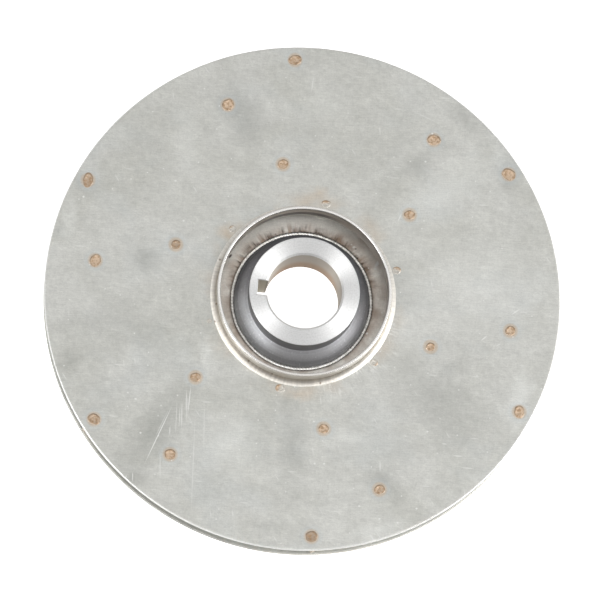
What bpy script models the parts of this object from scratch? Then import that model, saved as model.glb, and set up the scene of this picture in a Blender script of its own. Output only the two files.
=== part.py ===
"""Closed centrifugal impeller fabricated from steel sheet.

Two flat discs hold six backward-curved blades of folded sheet between them. A turned hub with a
keyed bore is welded into the rear disc, and a rolled collar is welded round the inlet eye of the
front disc. Each blade is spot-welded to the discs at four places along its flange.

Units are metres, +Z points along the shaft towards the inlet, and the origin is the centre of
the hub's rear face. The keyway lies on the -X side.
"""

import math

import bmesh
import bpy
from mathutils import Matrix, Vector

MM = 0.001
FIT_GAP = 0.3 * MM

# Discs
DISC_RADIUS = 110.0 * MM
SHEET = 1.5 * MM
PASSAGE_HEIGHT = 8.3 * MM
EDGE_BREAK = 0.2 * MM
DISC_STEPS = 96

# Hub
HUB_LENGTH = 22.5 * MM
HUB_REAR_PROJECTION = 3.0 * MM
HUB_RADIUS = 23.5 * MM
HUB_FLANGE_RADIUS = 28.9 * MM
HUB_FLANGE_STEP = 0.4 * MM
HUB_SHOULDER_RISE = 7.1 * MM
HUB_SHOULDER_ROUNDING = 10.0 * MM
HUB_CHAMFER = 0.4 * MM
BORE_RADIUS = 15.875 * MM
BORE_CHAMFER = 0.9 * MM
KEYWAY_WIDTH = 6.35 * MM
KEYWAY_FLOOR_RADIUS = 19.9 * MM
HUB_STEPS = 64
SHOULDER_STEPS = 8

# Inlet collar
COLLAR_RADIUS = 37.0 * MM
COLLAR_WALL = 1.2 * MM
COLLAR_RISE = 8.9 * MM
COLLAR_FILLET_LEG = 2.6 * MM
COLLAR_STEPS = 72

# Hub weld beads
BEAD_WIDTH = 1.0 * MM
BEAD_HEIGHT = 0.6 * MM

# Blades
BLADE_COUNT = 6
BLADE_SHEET = 1.2 * MM
BLADE_FLANGE = 8.0 * MM
BLADE_BEND_RADIUS = 1.8 * MM
BLADE_ANGLE = math.radians(27.0)
BLADE_INNER_RADIUS = 39.5 * MM
BLADE_OUTER_RADIUS = 106.2 * MM
BLADE_STATIONS = 16
BEND_STEPS = 2

# Spot welds of one blade, from the eye outwards: radius, and angle from +X
SPOT_WELDS = (
    (41.6 * MM, math.radians(80.9)),
    (58.3 * MM, math.radians(43.0)),
    (89.5 * MM, math.radians(-4.4)),
    (104.1 * MM, math.radians(-23.6)),
)
SPOT_RADIUS = 2.5 * MM
SPOT_RISE = 0.15 * MM
SPOT_STEPS = 12

# Heights that follow from the sizes above
REAR_BACK_Z = HUB_REAR_PROJECTION
REAR_INNER_Z = REAR_BACK_Z + SHEET
FRONT_INNER_Z = REAR_INNER_Z + PASSAGE_HEIGHT
FRONT_TOP_Z = FRONT_INNER_Z + SHEET
COLLAR_TOP_Z = FRONT_TOP_Z + COLLAR_RISE

# Base colour, metallic value and roughness of each finish
FINISHES = {
    "sheet": ((0.56, 0.56, 0.53), 1.0, 0.38),
    "blade": ((0.46, 0.46, 0.44), 1.0, 0.45),
    "collar": ((0.52, 0.48, 0.43), 1.0, 0.36),
    "hub": ((0.66, 0.66, 0.66), 1.0, 0.27),
    "weld": ((0.62, 0.61, 0.59), 1.0, 0.30),
    "spot": ((0.52, 0.36, 0.23), 1.0, 0.50),
}


def clear_scene():
    """Remove every object that the file opened with."""
    for obj in list(bpy.data.objects):
        bpy.data.objects.remove(obj, do_unlink=True)


def new_collection(name):
    """Add a collection to the scene and return it."""
    collection = bpy.data.collections.new(name)
    bpy.context.scene.collection.children.link(collection)
    return collection


def make_material(name, finish):
    """Return a Principled material for one part in one of the named finishes."""
    colour, metallic, roughness = FINISHES[finish]
    material = bpy.data.materials.new(name)
    material.use_nodes = True
    shader = material.node_tree.nodes["Principled BSDF"]
    shader.inputs["Base Color"].default_value = (*colour, 1.0)
    shader.inputs["Metallic"].default_value = metallic
    shader.inputs["Roughness"].default_value = roughness
    return material


def add_object(name, mesh, finish, collection, sharp_degrees=30.0):
    """Link a mesh as a named part with its own material, shaded smooth up to a crease angle."""
    mesh.materials.append(make_material(name, finish))
    mesh.shade_smooth()
    mesh.set_sharp_from_angle(angle=math.radians(sharp_degrees))
    obj = bpy.data.objects.new(name, mesh)
    collection.objects.link(obj)
    return obj


def hide_cutter(obj):
    """Show a cutting body as wire only and keep it out of renders."""
    obj.hide_render = True
    obj.display_type = "WIRE"


def arc(centre, radius, start_degrees, end_degrees, steps):
    """Return points on an arc, both ends included, measured from the first axis."""
    points = []
    for k in range(steps + 1):
        angle = math.radians(start_degrees + (end_degrees - start_degrees) * k / steps)
        points.append((centre[0] + radius * math.cos(angle), centre[1] + radius * math.sin(angle)))
    return points


def turned(name, profile, finish, collection, steps):
    """Turn a closed (radius, height) outline round the Z axis.

    The outline runs down its outer side, inwards below, and up its inner side.
    """
    mesh = bpy.data.meshes.new(name)
    count = len(profile)
    edges = [(k, (k + 1) % count) for k in range(count)]
    mesh.from_pydata([(radius, 0.0, height) for radius, height in profile], edges, [])
    obj = add_object(name, mesh, finish, collection)
    screw = obj.modifiers.new("Turn", "SCREW")
    screw.axis = "Z"
    screw.angle = math.tau
    screw.steps = steps
    screw.render_steps = steps
    screw.use_merge_vertices = True
    screw.merge_threshold = 0.00001
    screw.use_smooth_shade = True
    return obj


def cut(obj, cutter):
    """Subtract a cutting body from a part."""
    boolean = obj.modifiers.new("Cut " + cutter.name, "BOOLEAN")
    boolean.operation = "DIFFERENCE"
    boolean.solver = "EXACT"
    boolean.object = cutter


def disc_profile(inner_radius, bottom_z):
    """Return the outline of a flat disc with its edges broken by a small chamfer."""
    top_z = bottom_z + SHEET
    return [
        (DISC_RADIUS - EDGE_BREAK, top_z),
        (DISC_RADIUS, top_z - EDGE_BREAK),
        (DISC_RADIUS, bottom_z + EDGE_BREAK),
        (DISC_RADIUS - EDGE_BREAK, bottom_z),
        (inner_radius, bottom_z),
        (inner_radius, top_z),
    ]


def spot_places():
    """Return (blade, place, x, y) of every spot weld, blade by blade from the eye outwards."""
    places = []
    for blade in range(BLADE_COUNT):
        turn = math.tau * blade / BLADE_COUNT
        for place, (radius, angle) in enumerate(SPOT_WELDS):
            x = radius * math.cos(angle + turn)
            y = radius * math.sin(angle + turn)
            places.append((blade + 1, place + 1, x, y))
    return places


def build_rear_disc(parts):
    """Make the flat rear disc, with the hole that the hub's flange fills."""
    profile = disc_profile(HUB_FLANGE_RADIUS + FIT_GAP, REAR_BACK_Z)
    return turned("rear_shroud", profile, "sheet", parts, DISC_STEPS)


def build_front_disc(parts, cutters):
    """Make the flat front disc, with its inlet eye and the places of the spot welds."""
    profile = disc_profile(COLLAR_RADIUS - COLLAR_WALL, FRONT_INNER_Z)
    disc = turned("front_shroud", profile, "sheet", parts, DISC_STEPS)
    form = bmesh.new()
    for _, _, x, y in spot_places():
        place = Matrix.Translation((x, y, FRONT_INNER_Z + SHEET / 2))
        bmesh.ops.create_cone(
            form,
            cap_ends=True,
            segments=SPOT_STEPS,
            radius1=SPOT_RADIUS + FIT_GAP,
            radius2=SPOT_RADIUS + FIT_GAP,
            depth=3 * SHEET,
            matrix=place,
        )
    mesh = bpy.data.meshes.new("spot_weld_cutter")
    form.to_mesh(mesh)
    form.free()
    cutter = bpy.data.objects.new("spot_weld_cutter", mesh)
    cutters.objects.link(cutter)
    hide_cutter(cutter)
    cut(disc, cutter)
    return disc


def build_collar(parts):
    """Make the thin collar that stands round the inlet eye, with a rounded rim."""
    foot_z = FRONT_TOP_Z + FIT_GAP
    inner = COLLAR_RADIUS - COLLAR_WALL
    middle = COLLAR_RADIUS - COLLAR_WALL / 2
    rim = arc((middle, COLLAR_TOP_Z - COLLAR_WALL / 2), COLLAR_WALL / 2, 180.0, 0.0, 4)
    profile = rim + [(COLLAR_RADIUS, foot_z), (inner, foot_z)]
    return turned("inlet_collar", profile, "collar", parts, COLLAR_STEPS)


def build_collar_weld(parts):
    """Make the hollow fillet weld that joins the collar's foot to the front disc."""
    root_radius = COLLAR_RADIUS + FIT_GAP
    root_z = FRONT_TOP_Z + FIT_GAP
    leg = COLLAR_FILLET_LEG - FIT_GAP
    toe = 0.25 * leg
    hollow = arc((root_radius + leg, root_z + leg), leg - toe, 180.0, 270.0, 4)
    profile = [(root_radius, root_z + leg)] + hollow
    profile += [(root_radius + leg, root_z), (root_radius, root_z)]
    return turned("collar_weld", profile, "weld", parts, COLLAR_STEPS)


def shoulder():
    """Return the outline of the hub's shoulder, one arc from the barrel down to the flange."""
    width = HUB_FLANGE_RADIUS - HUB_RADIUS
    chord = math.hypot(width, HUB_SHOULDER_RISE)
    middle = math.degrees(math.atan2(width, HUB_SHOULDER_RISE))
    half = math.degrees(math.asin(chord / 2 / HUB_SHOULDER_ROUNDING))
    start = math.radians(middle + half)
    top_z = REAR_INNER_Z + HUB_FLANGE_STEP + HUB_SHOULDER_RISE
    centre = (
        HUB_RADIUS - HUB_SHOULDER_ROUNDING * math.cos(start),
        top_z - HUB_SHOULDER_ROUNDING * math.sin(start),
    )
    return arc(centre, HUB_SHOULDER_ROUNDING, middle + half, middle - half, SHOULDER_STEPS)


def build_hub(parts, cutters):
    """Make the turned hub: plain barrel, rounded shoulder down to its flange, and a keyed bore."""
    profile = [(HUB_RADIUS - HUB_CHAMFER, HUB_LENGTH), (HUB_RADIUS, HUB_LENGTH - HUB_CHAMFER)]
    profile += shoulder()
    profile += [
        (HUB_FLANGE_RADIUS, HUB_CHAMFER),
        (HUB_FLANGE_RADIUS - HUB_CHAMFER, 0.0),
        (BORE_RADIUS + BORE_CHAMFER, 0.0),
        (BORE_RADIUS, BORE_CHAMFER),
        (BORE_RADIUS, HUB_LENGTH - BORE_CHAMFER),
        (BORE_RADIUS + BORE_CHAMFER, HUB_LENGTH),
    ]
    hub = turned("hub", profile, "hub", parts, HUB_STEPS)
    form = bmesh.new()
    place = Matrix.Translation((-KEYWAY_FLOOR_RADIUS / 2, 0.0, HUB_LENGTH / 2))
    size = Matrix.Diagonal((KEYWAY_FLOOR_RADIUS, KEYWAY_WIDTH, 2 * HUB_LENGTH, 1.0))
    bmesh.ops.create_cube(form, size=1.0, matrix=place @ size)
    mesh = bpy.data.meshes.new("keyway_cutter")
    form.to_mesh(mesh)
    form.free()
    cutter = bpy.data.objects.new("keyway_cutter", mesh)
    cutters.objects.link(cutter)
    hide_cutter(cutter)
    cut(hub, cutter)
    return hub


def build_hub_weld(name, seat_z, side, parts):
    """Make one ring of weld beside the hub's flange.

    seat_z is the face of the rear disc that it lies on, and side is 1 above that face, -1 below.
    """
    inner = HUB_FLANGE_RADIUS + FIT_GAP
    outer = inner + BEAD_WIDTH
    low = FIT_GAP
    high = FIT_GAP + BEAD_HEIGHT
    shoulder = FIT_GAP + 0.6 * BEAD_HEIGHT
    inset = 0.3 * BEAD_WIDTH
    section = [
        (inner, shoulder),
        (inner + inset, high),
        (outer - inset, high),
        (outer, shoulder),
        (outer, low),
        (inner, low),
    ]
    profile = [(radius, seat_z + side * height) for radius, height in section]
    if side < 0:
        profile.reverse()
    return turned(name, profile, "weld", parts, HUB_STEPS)


def blade_path(blade):
    """Return the middle line of one blade's flange, a spiral of constant blade angle.

    The angle falls as the radius grows, so the blades lean back against a turn that is
    anticlockwise seen from the inlet.
    """
    radius_0, angle_0 = SPOT_WELDS[1]
    turn = math.tau * blade / BLADE_COUNT
    growth = math.log(BLADE_OUTER_RADIUS / BLADE_INNER_RADIUS)
    points = []
    for k in range(BLADE_STATIONS):
        radius = BLADE_INNER_RADIUS * math.exp(growth * k / (BLADE_STATIONS - 1))
        angle = angle_0 + turn - math.log(radius / radius_0) / math.tan(BLADE_ANGLE)
        points.append((radius * math.cos(angle), radius * math.sin(angle)))
    return points


def blade_section():
    """Return the outline of the folded channel: across the blade, and up from its middle.

    The web stands on the outer side of the spiral, and both flanges turn inwards from it.
    """
    half_height = PASSAGE_HEIGHT / 2 - FIT_GAP
    half_width = BLADE_FLANGE / 2
    inner_bend = BLADE_BEND_RADIUS - BLADE_SHEET
    across = half_width - BLADE_BEND_RADIUS
    up = half_height - BLADE_BEND_RADIUS
    outside = arc((across, up), BLADE_BEND_RADIUS, 90.0, 0.0, BEND_STEPS)
    outside += arc((across, -up), BLADE_BEND_RADIUS, 0.0, -90.0, BEND_STEPS)
    inside = arc((across, -up), inner_bend, -90.0, 0.0, BEND_STEPS)
    inside += arc((across, up), inner_bend, 0.0, 90.0, BEND_STEPS)
    outline = [(-half_width, half_height)] + outside + [(-half_width, -half_height)]
    outline += [(-half_width, -half_height + BLADE_SHEET)] + inside
    outline += [(-half_width, half_height - BLADE_SHEET)]
    return outline


def swept(name, path, height, section, finish, collection):
    """Carry a closed section along a level path and return it as one closed mesh part."""
    profile_curve = bpy.data.curves.new(name + "_section", "CURVE")
    profile_curve.dimensions = "2D"
    outline = profile_curve.splines.new("POLY")
    outline.points.add(len(section) - 1)
    for point, (across, up) in zip(outline.points, section):
        point.co = (across, up, 0.0, 1.0)
    outline.use_cyclic_u = True
    profile = bpy.data.objects.new(name + "_section", profile_curve)
    collection.objects.link(profile)

    curve = bpy.data.curves.new(name + "_path", "CURVE")
    curve.dimensions = "3D"
    curve.twist_mode = "Z_UP"
    curve.bevel_mode = "OBJECT"
    curve.bevel_object = profile
    curve.use_fill_caps = True
    line = curve.splines.new("POLY")
    line.points.add(len(path) - 1)
    for point, (x, y) in zip(line.points, path):
        point.co = (x, y, height, 1.0)
    guide = bpy.data.objects.new(name + "_path", curve)
    collection.objects.link(guide)

    depsgraph = bpy.context.evaluated_depsgraph_get()
    mesh = bpy.data.meshes.new_from_object(guide.evaluated_get(depsgraph), depsgraph=depsgraph)
    mesh.name = name
    mesh.materials.clear()
    form = bmesh.new()
    form.from_mesh(mesh)
    bmesh.ops.remove_doubles(form, verts=form.verts, dist=0.00001)
    bmesh.ops.recalc_face_normals(form, faces=form.faces)
    form.to_mesh(mesh)
    form.free()
    for helper in (guide, profile):
        bpy.data.objects.remove(helper, do_unlink=True)
    return add_object(name, mesh, finish, collection)


def build_blades(parts):
    """Make the six folded blades, each a channel swept along its spiral."""
    middle_z = REAR_INNER_Z + PASSAGE_HEIGHT / 2
    section = blade_section()
    for blade in range(BLADE_COUNT):
        swept(f"blade_{blade + 1}", blade_path(blade), middle_z, section, "blade", parts)


def build_spot_welds(parts):
    """Make the nugget of every spot weld, from the blade's flange to just above the disc."""
    for blade, place, x, y in spot_places():
        name = f"spot_weld_{blade}_{place}"
        height = SHEET + SPOT_RISE
        form = bmesh.new()
        bmesh.ops.create_cone(
            form,
            cap_ends=True,
            segments=SPOT_STEPS,
            radius1=SPOT_RADIUS,
            radius2=SPOT_RADIUS,
            depth=height,
        )
        mesh = bpy.data.meshes.new(name)
        form.to_mesh(mesh)
        form.free()
        nugget = add_object(name, mesh, "spot", parts)
        nugget.location = Vector((x, y, FRONT_INNER_Z + height / 2))
        bevel = nugget.modifiers.new("Soft rim", "BEVEL")
        bevel.width = SPOT_RISE
        bevel.segments = 1
        bevel.limit_method = "ANGLE"


def main():
    """Build the impeller from the rear disc to the collar."""
    clear_scene()
    parts = new_collection("centrifugal_impeller")
    cutters = new_collection("cutters")
    build_rear_disc(parts)
    build_front_disc(parts, cutters)
    build_collar(parts)
    build_collar_weld(parts)
    build_hub(parts, cutters)
    build_hub_weld("hub_front_weld", REAR_INNER_Z, 1, parts)
    build_hub_weld("hub_rear_weld", REAR_BACK_Z, -1, parts)
    build_blades(parts)
    build_spot_welds(parts)


main()
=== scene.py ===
"""Looks of a closed centrifugal impeller fabricated from stainless sheet.

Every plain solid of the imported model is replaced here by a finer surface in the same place: two
flat discs, six folded blades between them, a turned hub with a keyed bore, a rolled inlet collar,
their weld beads and the spot welds that hold the blades. Units are metres, +Z points along the
shaft towards the inlet, and the origin is the centre of the hub's rear face.
"""

import logging
import math
from collections.abc import Sequence
from dataclasses import dataclass, field
from enum import Enum

import bpy
import numpy as np
from mathutils import Matrix, Vector


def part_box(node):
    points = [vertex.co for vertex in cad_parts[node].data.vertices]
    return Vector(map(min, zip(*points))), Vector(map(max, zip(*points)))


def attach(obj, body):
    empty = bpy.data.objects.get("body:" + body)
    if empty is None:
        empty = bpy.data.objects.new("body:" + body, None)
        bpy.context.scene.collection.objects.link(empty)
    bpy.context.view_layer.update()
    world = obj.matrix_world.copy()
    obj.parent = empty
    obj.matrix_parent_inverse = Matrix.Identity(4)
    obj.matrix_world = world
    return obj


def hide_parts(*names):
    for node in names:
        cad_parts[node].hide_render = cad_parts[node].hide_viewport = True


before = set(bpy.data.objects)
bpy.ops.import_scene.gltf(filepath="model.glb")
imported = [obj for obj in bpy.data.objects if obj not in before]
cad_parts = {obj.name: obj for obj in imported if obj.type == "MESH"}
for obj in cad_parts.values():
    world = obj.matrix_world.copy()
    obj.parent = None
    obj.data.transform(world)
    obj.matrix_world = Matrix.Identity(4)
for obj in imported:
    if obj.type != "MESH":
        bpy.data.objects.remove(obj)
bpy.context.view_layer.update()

MM = 0.001
BODY = "root"
BLADES = 6
SPOTS_A_BLADE = 4
WHITE = (1.0, 1.0, 1.0, 1.0)
# Longest step between two rows of points on the turned and rolled pieces.
ROW_STEP = 0.8 * MM
# The mean of several sines seldom comes near 1, so it is raised by this much.
UNEVEN_GAIN = 1.6
# Grain of the noise that bends the edges of marks.
RAGGED_GRAIN = 7 * MM
LOG = logging.getLogger("impeller")
# Short names for four of Blender's types.
Tree = bpy.types.NodeTree
Node = bpy.types.Node
Socket = bpy.types.NodeSocket
Material = bpy.types.Material


class Slot(Enum):
    """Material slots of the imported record."""

    DISC = "disc_sheet"
    BLADE = "blade_sheet"
    COLLAR = "collar_steel"
    HUB = "hub_steel"
    WELD = "weld_metal"
    SPOT = "spot_weld"


class Face(Enum):
    """Side of a disc that something lies on: the sign of the way it faces along the shaft."""

    INLET = 1.0
    BACK = -1.0


@dataclass
class Surface:
    """A closed skin kept as whole arrays.

    points is (n, 3), quads (m, 4) and triangles (k, 3), and values holds numbers at the points.
    """

    points: np.ndarray
    quads: np.ndarray
    triangles: np.ndarray = field(default_factory=lambda: np.zeros((0, 3), int))
    values: dict[str, np.ndarray] = field(default_factory=dict)

    @staticmethod
    def _cells(rows: int, columns: int, closed_rows: bool) -> np.ndarray:
        """Return the quads of a grid whose columns close on themselves.

        Point (r, c) has index r * columns + c, and a quad joins it to its neighbours at r + 1 and
        c + 1, counted modulo the grid's size where the grid closes.

        Args:
            rows: Rows of points.
            columns: Points in a row.
            closed_rows: Whether the last row joins the first.

        Returns:
            Point numbers (n, 4).
        """
        row = np.arange(rows if closed_rows else rows - 1)[:, None]
        column = np.arange(columns)[None, :]
        below = (row + 1) % rows
        beside = (column + 1) % columns
        corners = (
            row * columns + column,
            row * columns + beside,
            below * columns + beside,
            below * columns + column,
        )
        return np.stack([np.broadcast_to(c, (row.size, columns)) for c in corners], -1).reshape(-1, 4)

    @classmethod
    def ring(cls, grid: np.ndarray, **values: np.ndarray) -> "Surface":
        """Close a (rows, columns, 3) grid both ways, as the skin of a ring.

        Args:
            grid: Points, with rows going round the section and columns round the axis.
            values: Numbers at the points, each (rows, columns).

        Returns:
            The closed surface.
        """
        rows, columns = grid.shape[:2]
        made = cls(grid.reshape(-1, 3), cls._cells(rows, columns, True))
        made.values = {name: value.reshape(-1) for name, value in values.items()}
        return made.outward()

    @classmethod
    def lens(cls, grid: np.ndarray, **values: np.ndarray) -> "Surface":
        """Close a grid whose first and last rows shrink to one point each.

        Args:
            grid: Points (rows, columns, 3), from the top's middle out and round to the underside's.
            values: Numbers at the points, each (rows, columns).

        Returns:
            The closed surface, with fans of triangles at its two poles.
        """
        rows, columns = grid.shape[:2]
        belt = grid[1:-1].reshape(-1, 3)
        points = np.concatenate([belt, grid[:1, 0], grid[-1:, 0]])
        around = np.arange(columns)
        beside = (around + 1) % columns
        top, bottom = len(belt), len(belt) + 1
        last = (rows - 3) * columns
        fans = [
            np.stack([np.full(columns, top), beside, around], -1),
            np.stack([np.full(columns, bottom), last + around, last + beside], -1),
        ]
        made = cls(points, cls._cells(rows - 2, columns, False), np.concatenate(fans))
        for name, value in values.items():
            made.values[name] = np.concatenate([value[1:-1].reshape(-1), value[:1, 0], value[-1:, 0]])
        return made.outward()

    @classmethod
    def folded_bar(cls, grid: np.ndarray) -> "Surface":
        """Close a grid of stations along a folded strip.

        Args:
            grid: Points (stations, 2 n, 3). The first n go along the strip's outer side, and the
                last n come back along its inner side, so the point facing number j is 2 n - 1 - j.

        Returns:
            The closed surface, its two ends filled by quads from the outer to the inner side.
        """
        stations, around = grid.shape[:2]
        outer = np.arange(around // 2 - 1)
        cap = np.stack([outer, around - 1 - outer, around - 2 - outer, outer + 1], -1)
        far = cap[:, ::-1] + (stations - 1) * around
        quads = np.concatenate([cls._cells(stations, around, False), cap, far])
        return cls(grid.reshape(-1, 3), quads).outward()

    @classmethod
    def joined(cls, parts: Sequence["Surface"]) -> "Surface":
        """Return several surfaces as one, each keeping its own points."""
        starts = np.cumsum([0] + [len(part.points) for part in parts[:-1]])
        return cls(
            np.concatenate([part.points for part in parts]),
            np.concatenate([part.quads + start for part, start in zip(parts, starts)]),
            np.concatenate([part.triangles + start for part, start in zip(parts, starts)]),
            {name: np.concatenate([p.values[name] for p in parts]) for name in parts[0].values},
        )

    def outward(self) -> "Surface":
        """Turn every face over if the enclosed volume, the sum of p0 . (p1 x p2), is negative.

        Returns:
            The surface itself.
        """
        halves = np.concatenate([self.quads[:, :3], self.quads[:, [0, 2, 3]], self.triangles])
        a, b, c = (self.points[halves[:, k]] for k in range(3))
        if np.einsum("ij,ij->", a, np.cross(b, c)) < 0:
            self.quads = self.quads[:, ::-1]
            self.triangles = self.triangles[:, ::-1]
        return self

    def to_mesh(self, name: str) -> bpy.types.Mesh:
        """Write the arrays into a new Blender mesh.

        Args:
            name: The mesh's name.

        Returns:
            The mesh, each of the surface's values an attribute at its points.
        """
        mesh = bpy.data.meshes.new(name)
        loops = np.concatenate([self.quads.reshape(-1), self.triangles.reshape(-1)])
        sizes = np.repeat((4, 3), (len(self.quads), len(self.triangles)))
        mesh.vertices.add(len(self.points))
        mesh.vertices.foreach_set("co", self.points.astype(np.float32).reshape(-1))
        mesh.loops.add(len(loops))
        mesh.loops.foreach_set("vertex_index", loops.astype(np.int32))
        mesh.polygons.add(len(sizes))
        mesh.polygons.foreach_set("loop_start", (np.cumsum(sizes) - sizes).astype(np.int32))
        mesh.update(calc_edges=True)
        for label, value in self.values.items():
            layer = mesh.attributes.new(label, "FLOAT", "POINT")
            layer.data.foreach_set("value", value.astype(np.float32))
        return mesh


def put_piece(
    name: str, surface: Surface, finish: Material, nodes: Sequence[str] = (), crease: float = 32.0
) -> None:
    """Place one finished piece in the scene, riding on the impeller's body.

    Args:
        name: The piece's name.
        surface: Its skin, already in place.
        finish: Its material.
        nodes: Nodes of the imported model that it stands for.
        crease: Edges that fold by more than this many degrees stay crisp.
    """
    mesh = surface.to_mesh(name)
    mesh.materials.append(finish)
    mesh.shade_smooth()
    mesh.set_sharp_from_angle(angle=math.radians(crease))
    piece = bpy.data.objects.new(name, mesh)
    bpy.context.scene.collection.objects.link(piece)
    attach(piece, BODY)
    if nodes:
        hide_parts(*nodes)
    triangles = 2 * len(surface.quads) + len(surface.triangles)
    LOG.info("%s: %d triangles, %s", name, triangles, finish.name)


def rounded_outline(corners: Sequence[tuple[float, float, float]], steps: int = 5) -> np.ndarray:
    """Round the corners of a closed outline by arcs tangent to their two sides.

    An arc's centre lies on the corner's bisector, rounding / sin(half the corner's angle) away,
    and its points turn evenly from one tangent point to the other.

    Args:
        corners: Radius, height and rounding of each corner in order.
        steps: Stretches in each arc.

    Returns:
        Points (n, 2) of radius and height.
    """
    made = []
    for k, (radius, height, rounding) in enumerate(corners):
        here = np.array((radius, height))
        if rounding == 0:
            made.append(here[None])
            continue
        before = np.array(corners[k - 1][:2]) - here
        after = np.array(corners[(k + 1) % len(corners)][:2]) - here
        before /= np.linalg.norm(before)
        after /= np.linalg.norm(after)
        half = math.acos(before @ after) / 2
        bisector = (before + after) / np.linalg.norm(before + after)
        centre = here + bisector * rounding / math.sin(half)
        first = here + before * rounding / math.tan(half) - centre
        last = here + after * rounding / math.tan(half) - centre
        sweep = math.pi - 2 * half
        share = np.linspace(0, 1, steps + 1)[:, None]
        turned = np.sin((1 - share) * sweep) * first + np.sin(share * sweep) * last
        made.append(centre + turned / math.sin(sweep))
    return np.concatenate(made)


def refined(outline: np.ndarray, longest: np.ndarray) -> np.ndarray:
    """Split the sides of a closed outline evenly so that none is longer than its limit.

    Args:
        outline: Points (n, 2).
        longest: Limit for the side from each point to the next, (n,).

    Returns:
        The outline with more points on its long sides.
    """
    following = np.roll(outline, -1, axis=0)
    length = np.linalg.norm(following - outline, axis=1)
    parts = np.maximum(1, np.ceil(length / longest)).astype(int)
    side = np.repeat(np.arange(len(outline)), parts)
    first = np.repeat(np.cumsum(parts) - parts, parts)
    share = ((np.arange(parts.sum()) - first) / parts[side])[:, None]
    return outline[side] * (1 - share) + following[side] * share


def revolved(outline: np.ndarray, columns: int) -> np.ndarray:
    """Carry an outline round the shaft: x = r cos a, y = r sin a, with a even over a full turn.

    Args:
        outline: Radius and height (rows, 2), or (rows, columns, 2) where they change with the turn.
        columns: Steps in the full turn.

    Returns:
        Points (rows, columns, 3).
    """
    angle = np.arange(columns) * math.tau / columns
    if outline.ndim == 2:
        outline = np.repeat(outline[:, None], columns, axis=1)
    radius, height = outline[..., 0], outline[..., 1]
    return np.stack([radius * np.cos(angle), radius * np.sin(angle), height], -1)


def smooth_step(value: np.ndarray) -> np.ndarray:
    """Ease from 0 to 1 as value goes from 0 to 1: 3 v^2 - 2 v^3, held flat outside."""
    held = np.clip(value, 0, 1)
    return held * held * (3 - 2 * held)


def uneven(angle: np.ndarray, seed: int, waves: Sequence[int]) -> np.ndarray:
    """Return a closed uneven line of about +-1: a mean of sines with seeded heights and phases.

    Args:
        angle: Angles in radians, of any shape.
        seed: Which line it is.
        waves: Whole numbers of waves in a full turn.

    Returns:
        The line's height at each angle.
    """
    chance = np.random.default_rng(seed)
    heights = chance.uniform(0.5, 1.0, len(waves))
    phases = chance.uniform(0, math.tau, len(waves))
    total = sum(h * np.sin(n * angle + p) for h, n, p in zip(heights, waves, phases))
    return total / heights.sum() * UNEVEN_GAIN


@dataclass(frozen=True)
class Layout:
    """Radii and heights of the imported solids, read from their boxes."""

    disc_radius: float
    rear_back: float
    rear_face: float
    front_under: float
    front_face: float
    collar_radius: float
    collar_top: float
    fillet_radius: float
    hub_radius: float
    hub_top: float
    bead_radius: float
    spots: np.ndarray

    @classmethod
    def from_frame(cls) -> "Layout":
        """Read every size from the frame.

        Returns:
            The layout. Its spots are the welds' middles, (blades, places, 2).
        """
        rear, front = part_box("rear_shroud"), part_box("front_shroud")
        collar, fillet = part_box("inlet_collar"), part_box("collar_weld")
        hub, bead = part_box("hub"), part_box("hub_front_weld")
        spots = np.zeros((BLADES, SPOTS_A_BLADE, 2))
        for blade in range(BLADES):
            for place in range(SPOTS_A_BLADE):
                low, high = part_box(f"spot_weld_{blade + 1}_{place + 1}")
                spots[blade, place] = ((low + high) / 2)[:2]
        return cls(
            disc_radius=front[1].x,
            rear_back=rear[0].z,
            rear_face=rear[1].z,
            front_under=front[0].z,
            front_face=front[1].z,
            collar_radius=collar[1].x,
            collar_top=collar[1].z,
            fillet_radius=fillet[1].x,
            hub_radius=hub[1].x,
            hub_top=hub[1].z,
            bead_radius=bead[1].x,
            spots=spots,
        )


def linear(code: str) -> tuple[float, float, float, float]:
    """Turn an sRGB hex colour into linear light.

    Args:
        code: Six hex digits, such as c5c7c1.

    Returns:
        Red, green, blue and alpha.
    """
    parts = np.array([int(code[k : k + 2], 16) for k in (0, 2, 4)]) / 255
    light = np.where(parts <= 0.04045, parts / 12.92, ((parts + 0.055) / 1.055) ** 2.4)
    return (*light.tolist(), 1.0)


def add_node(tree: Tree, kind: str, inputs: dict | None = None, **settings: object) -> Node:
    """Add one shader node.

    Args:
        tree: The node tree.
        kind: The node's type without its ShaderNode prefix.
        inputs: Socket name or number to a value, or to the output socket to link.
        settings: The node's own settings.

    Returns:
        The new node.
    """
    node = tree.nodes.new("ShaderNode" + kind)
    for name, value in settings.items():
        setattr(node, name, value)
    for key, value in (inputs or {}).items():
        if isinstance(value, Socket):
            tree.links.new(value, node.inputs[key])
        else:
            node.inputs[key].default_value = value
    return node


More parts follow.
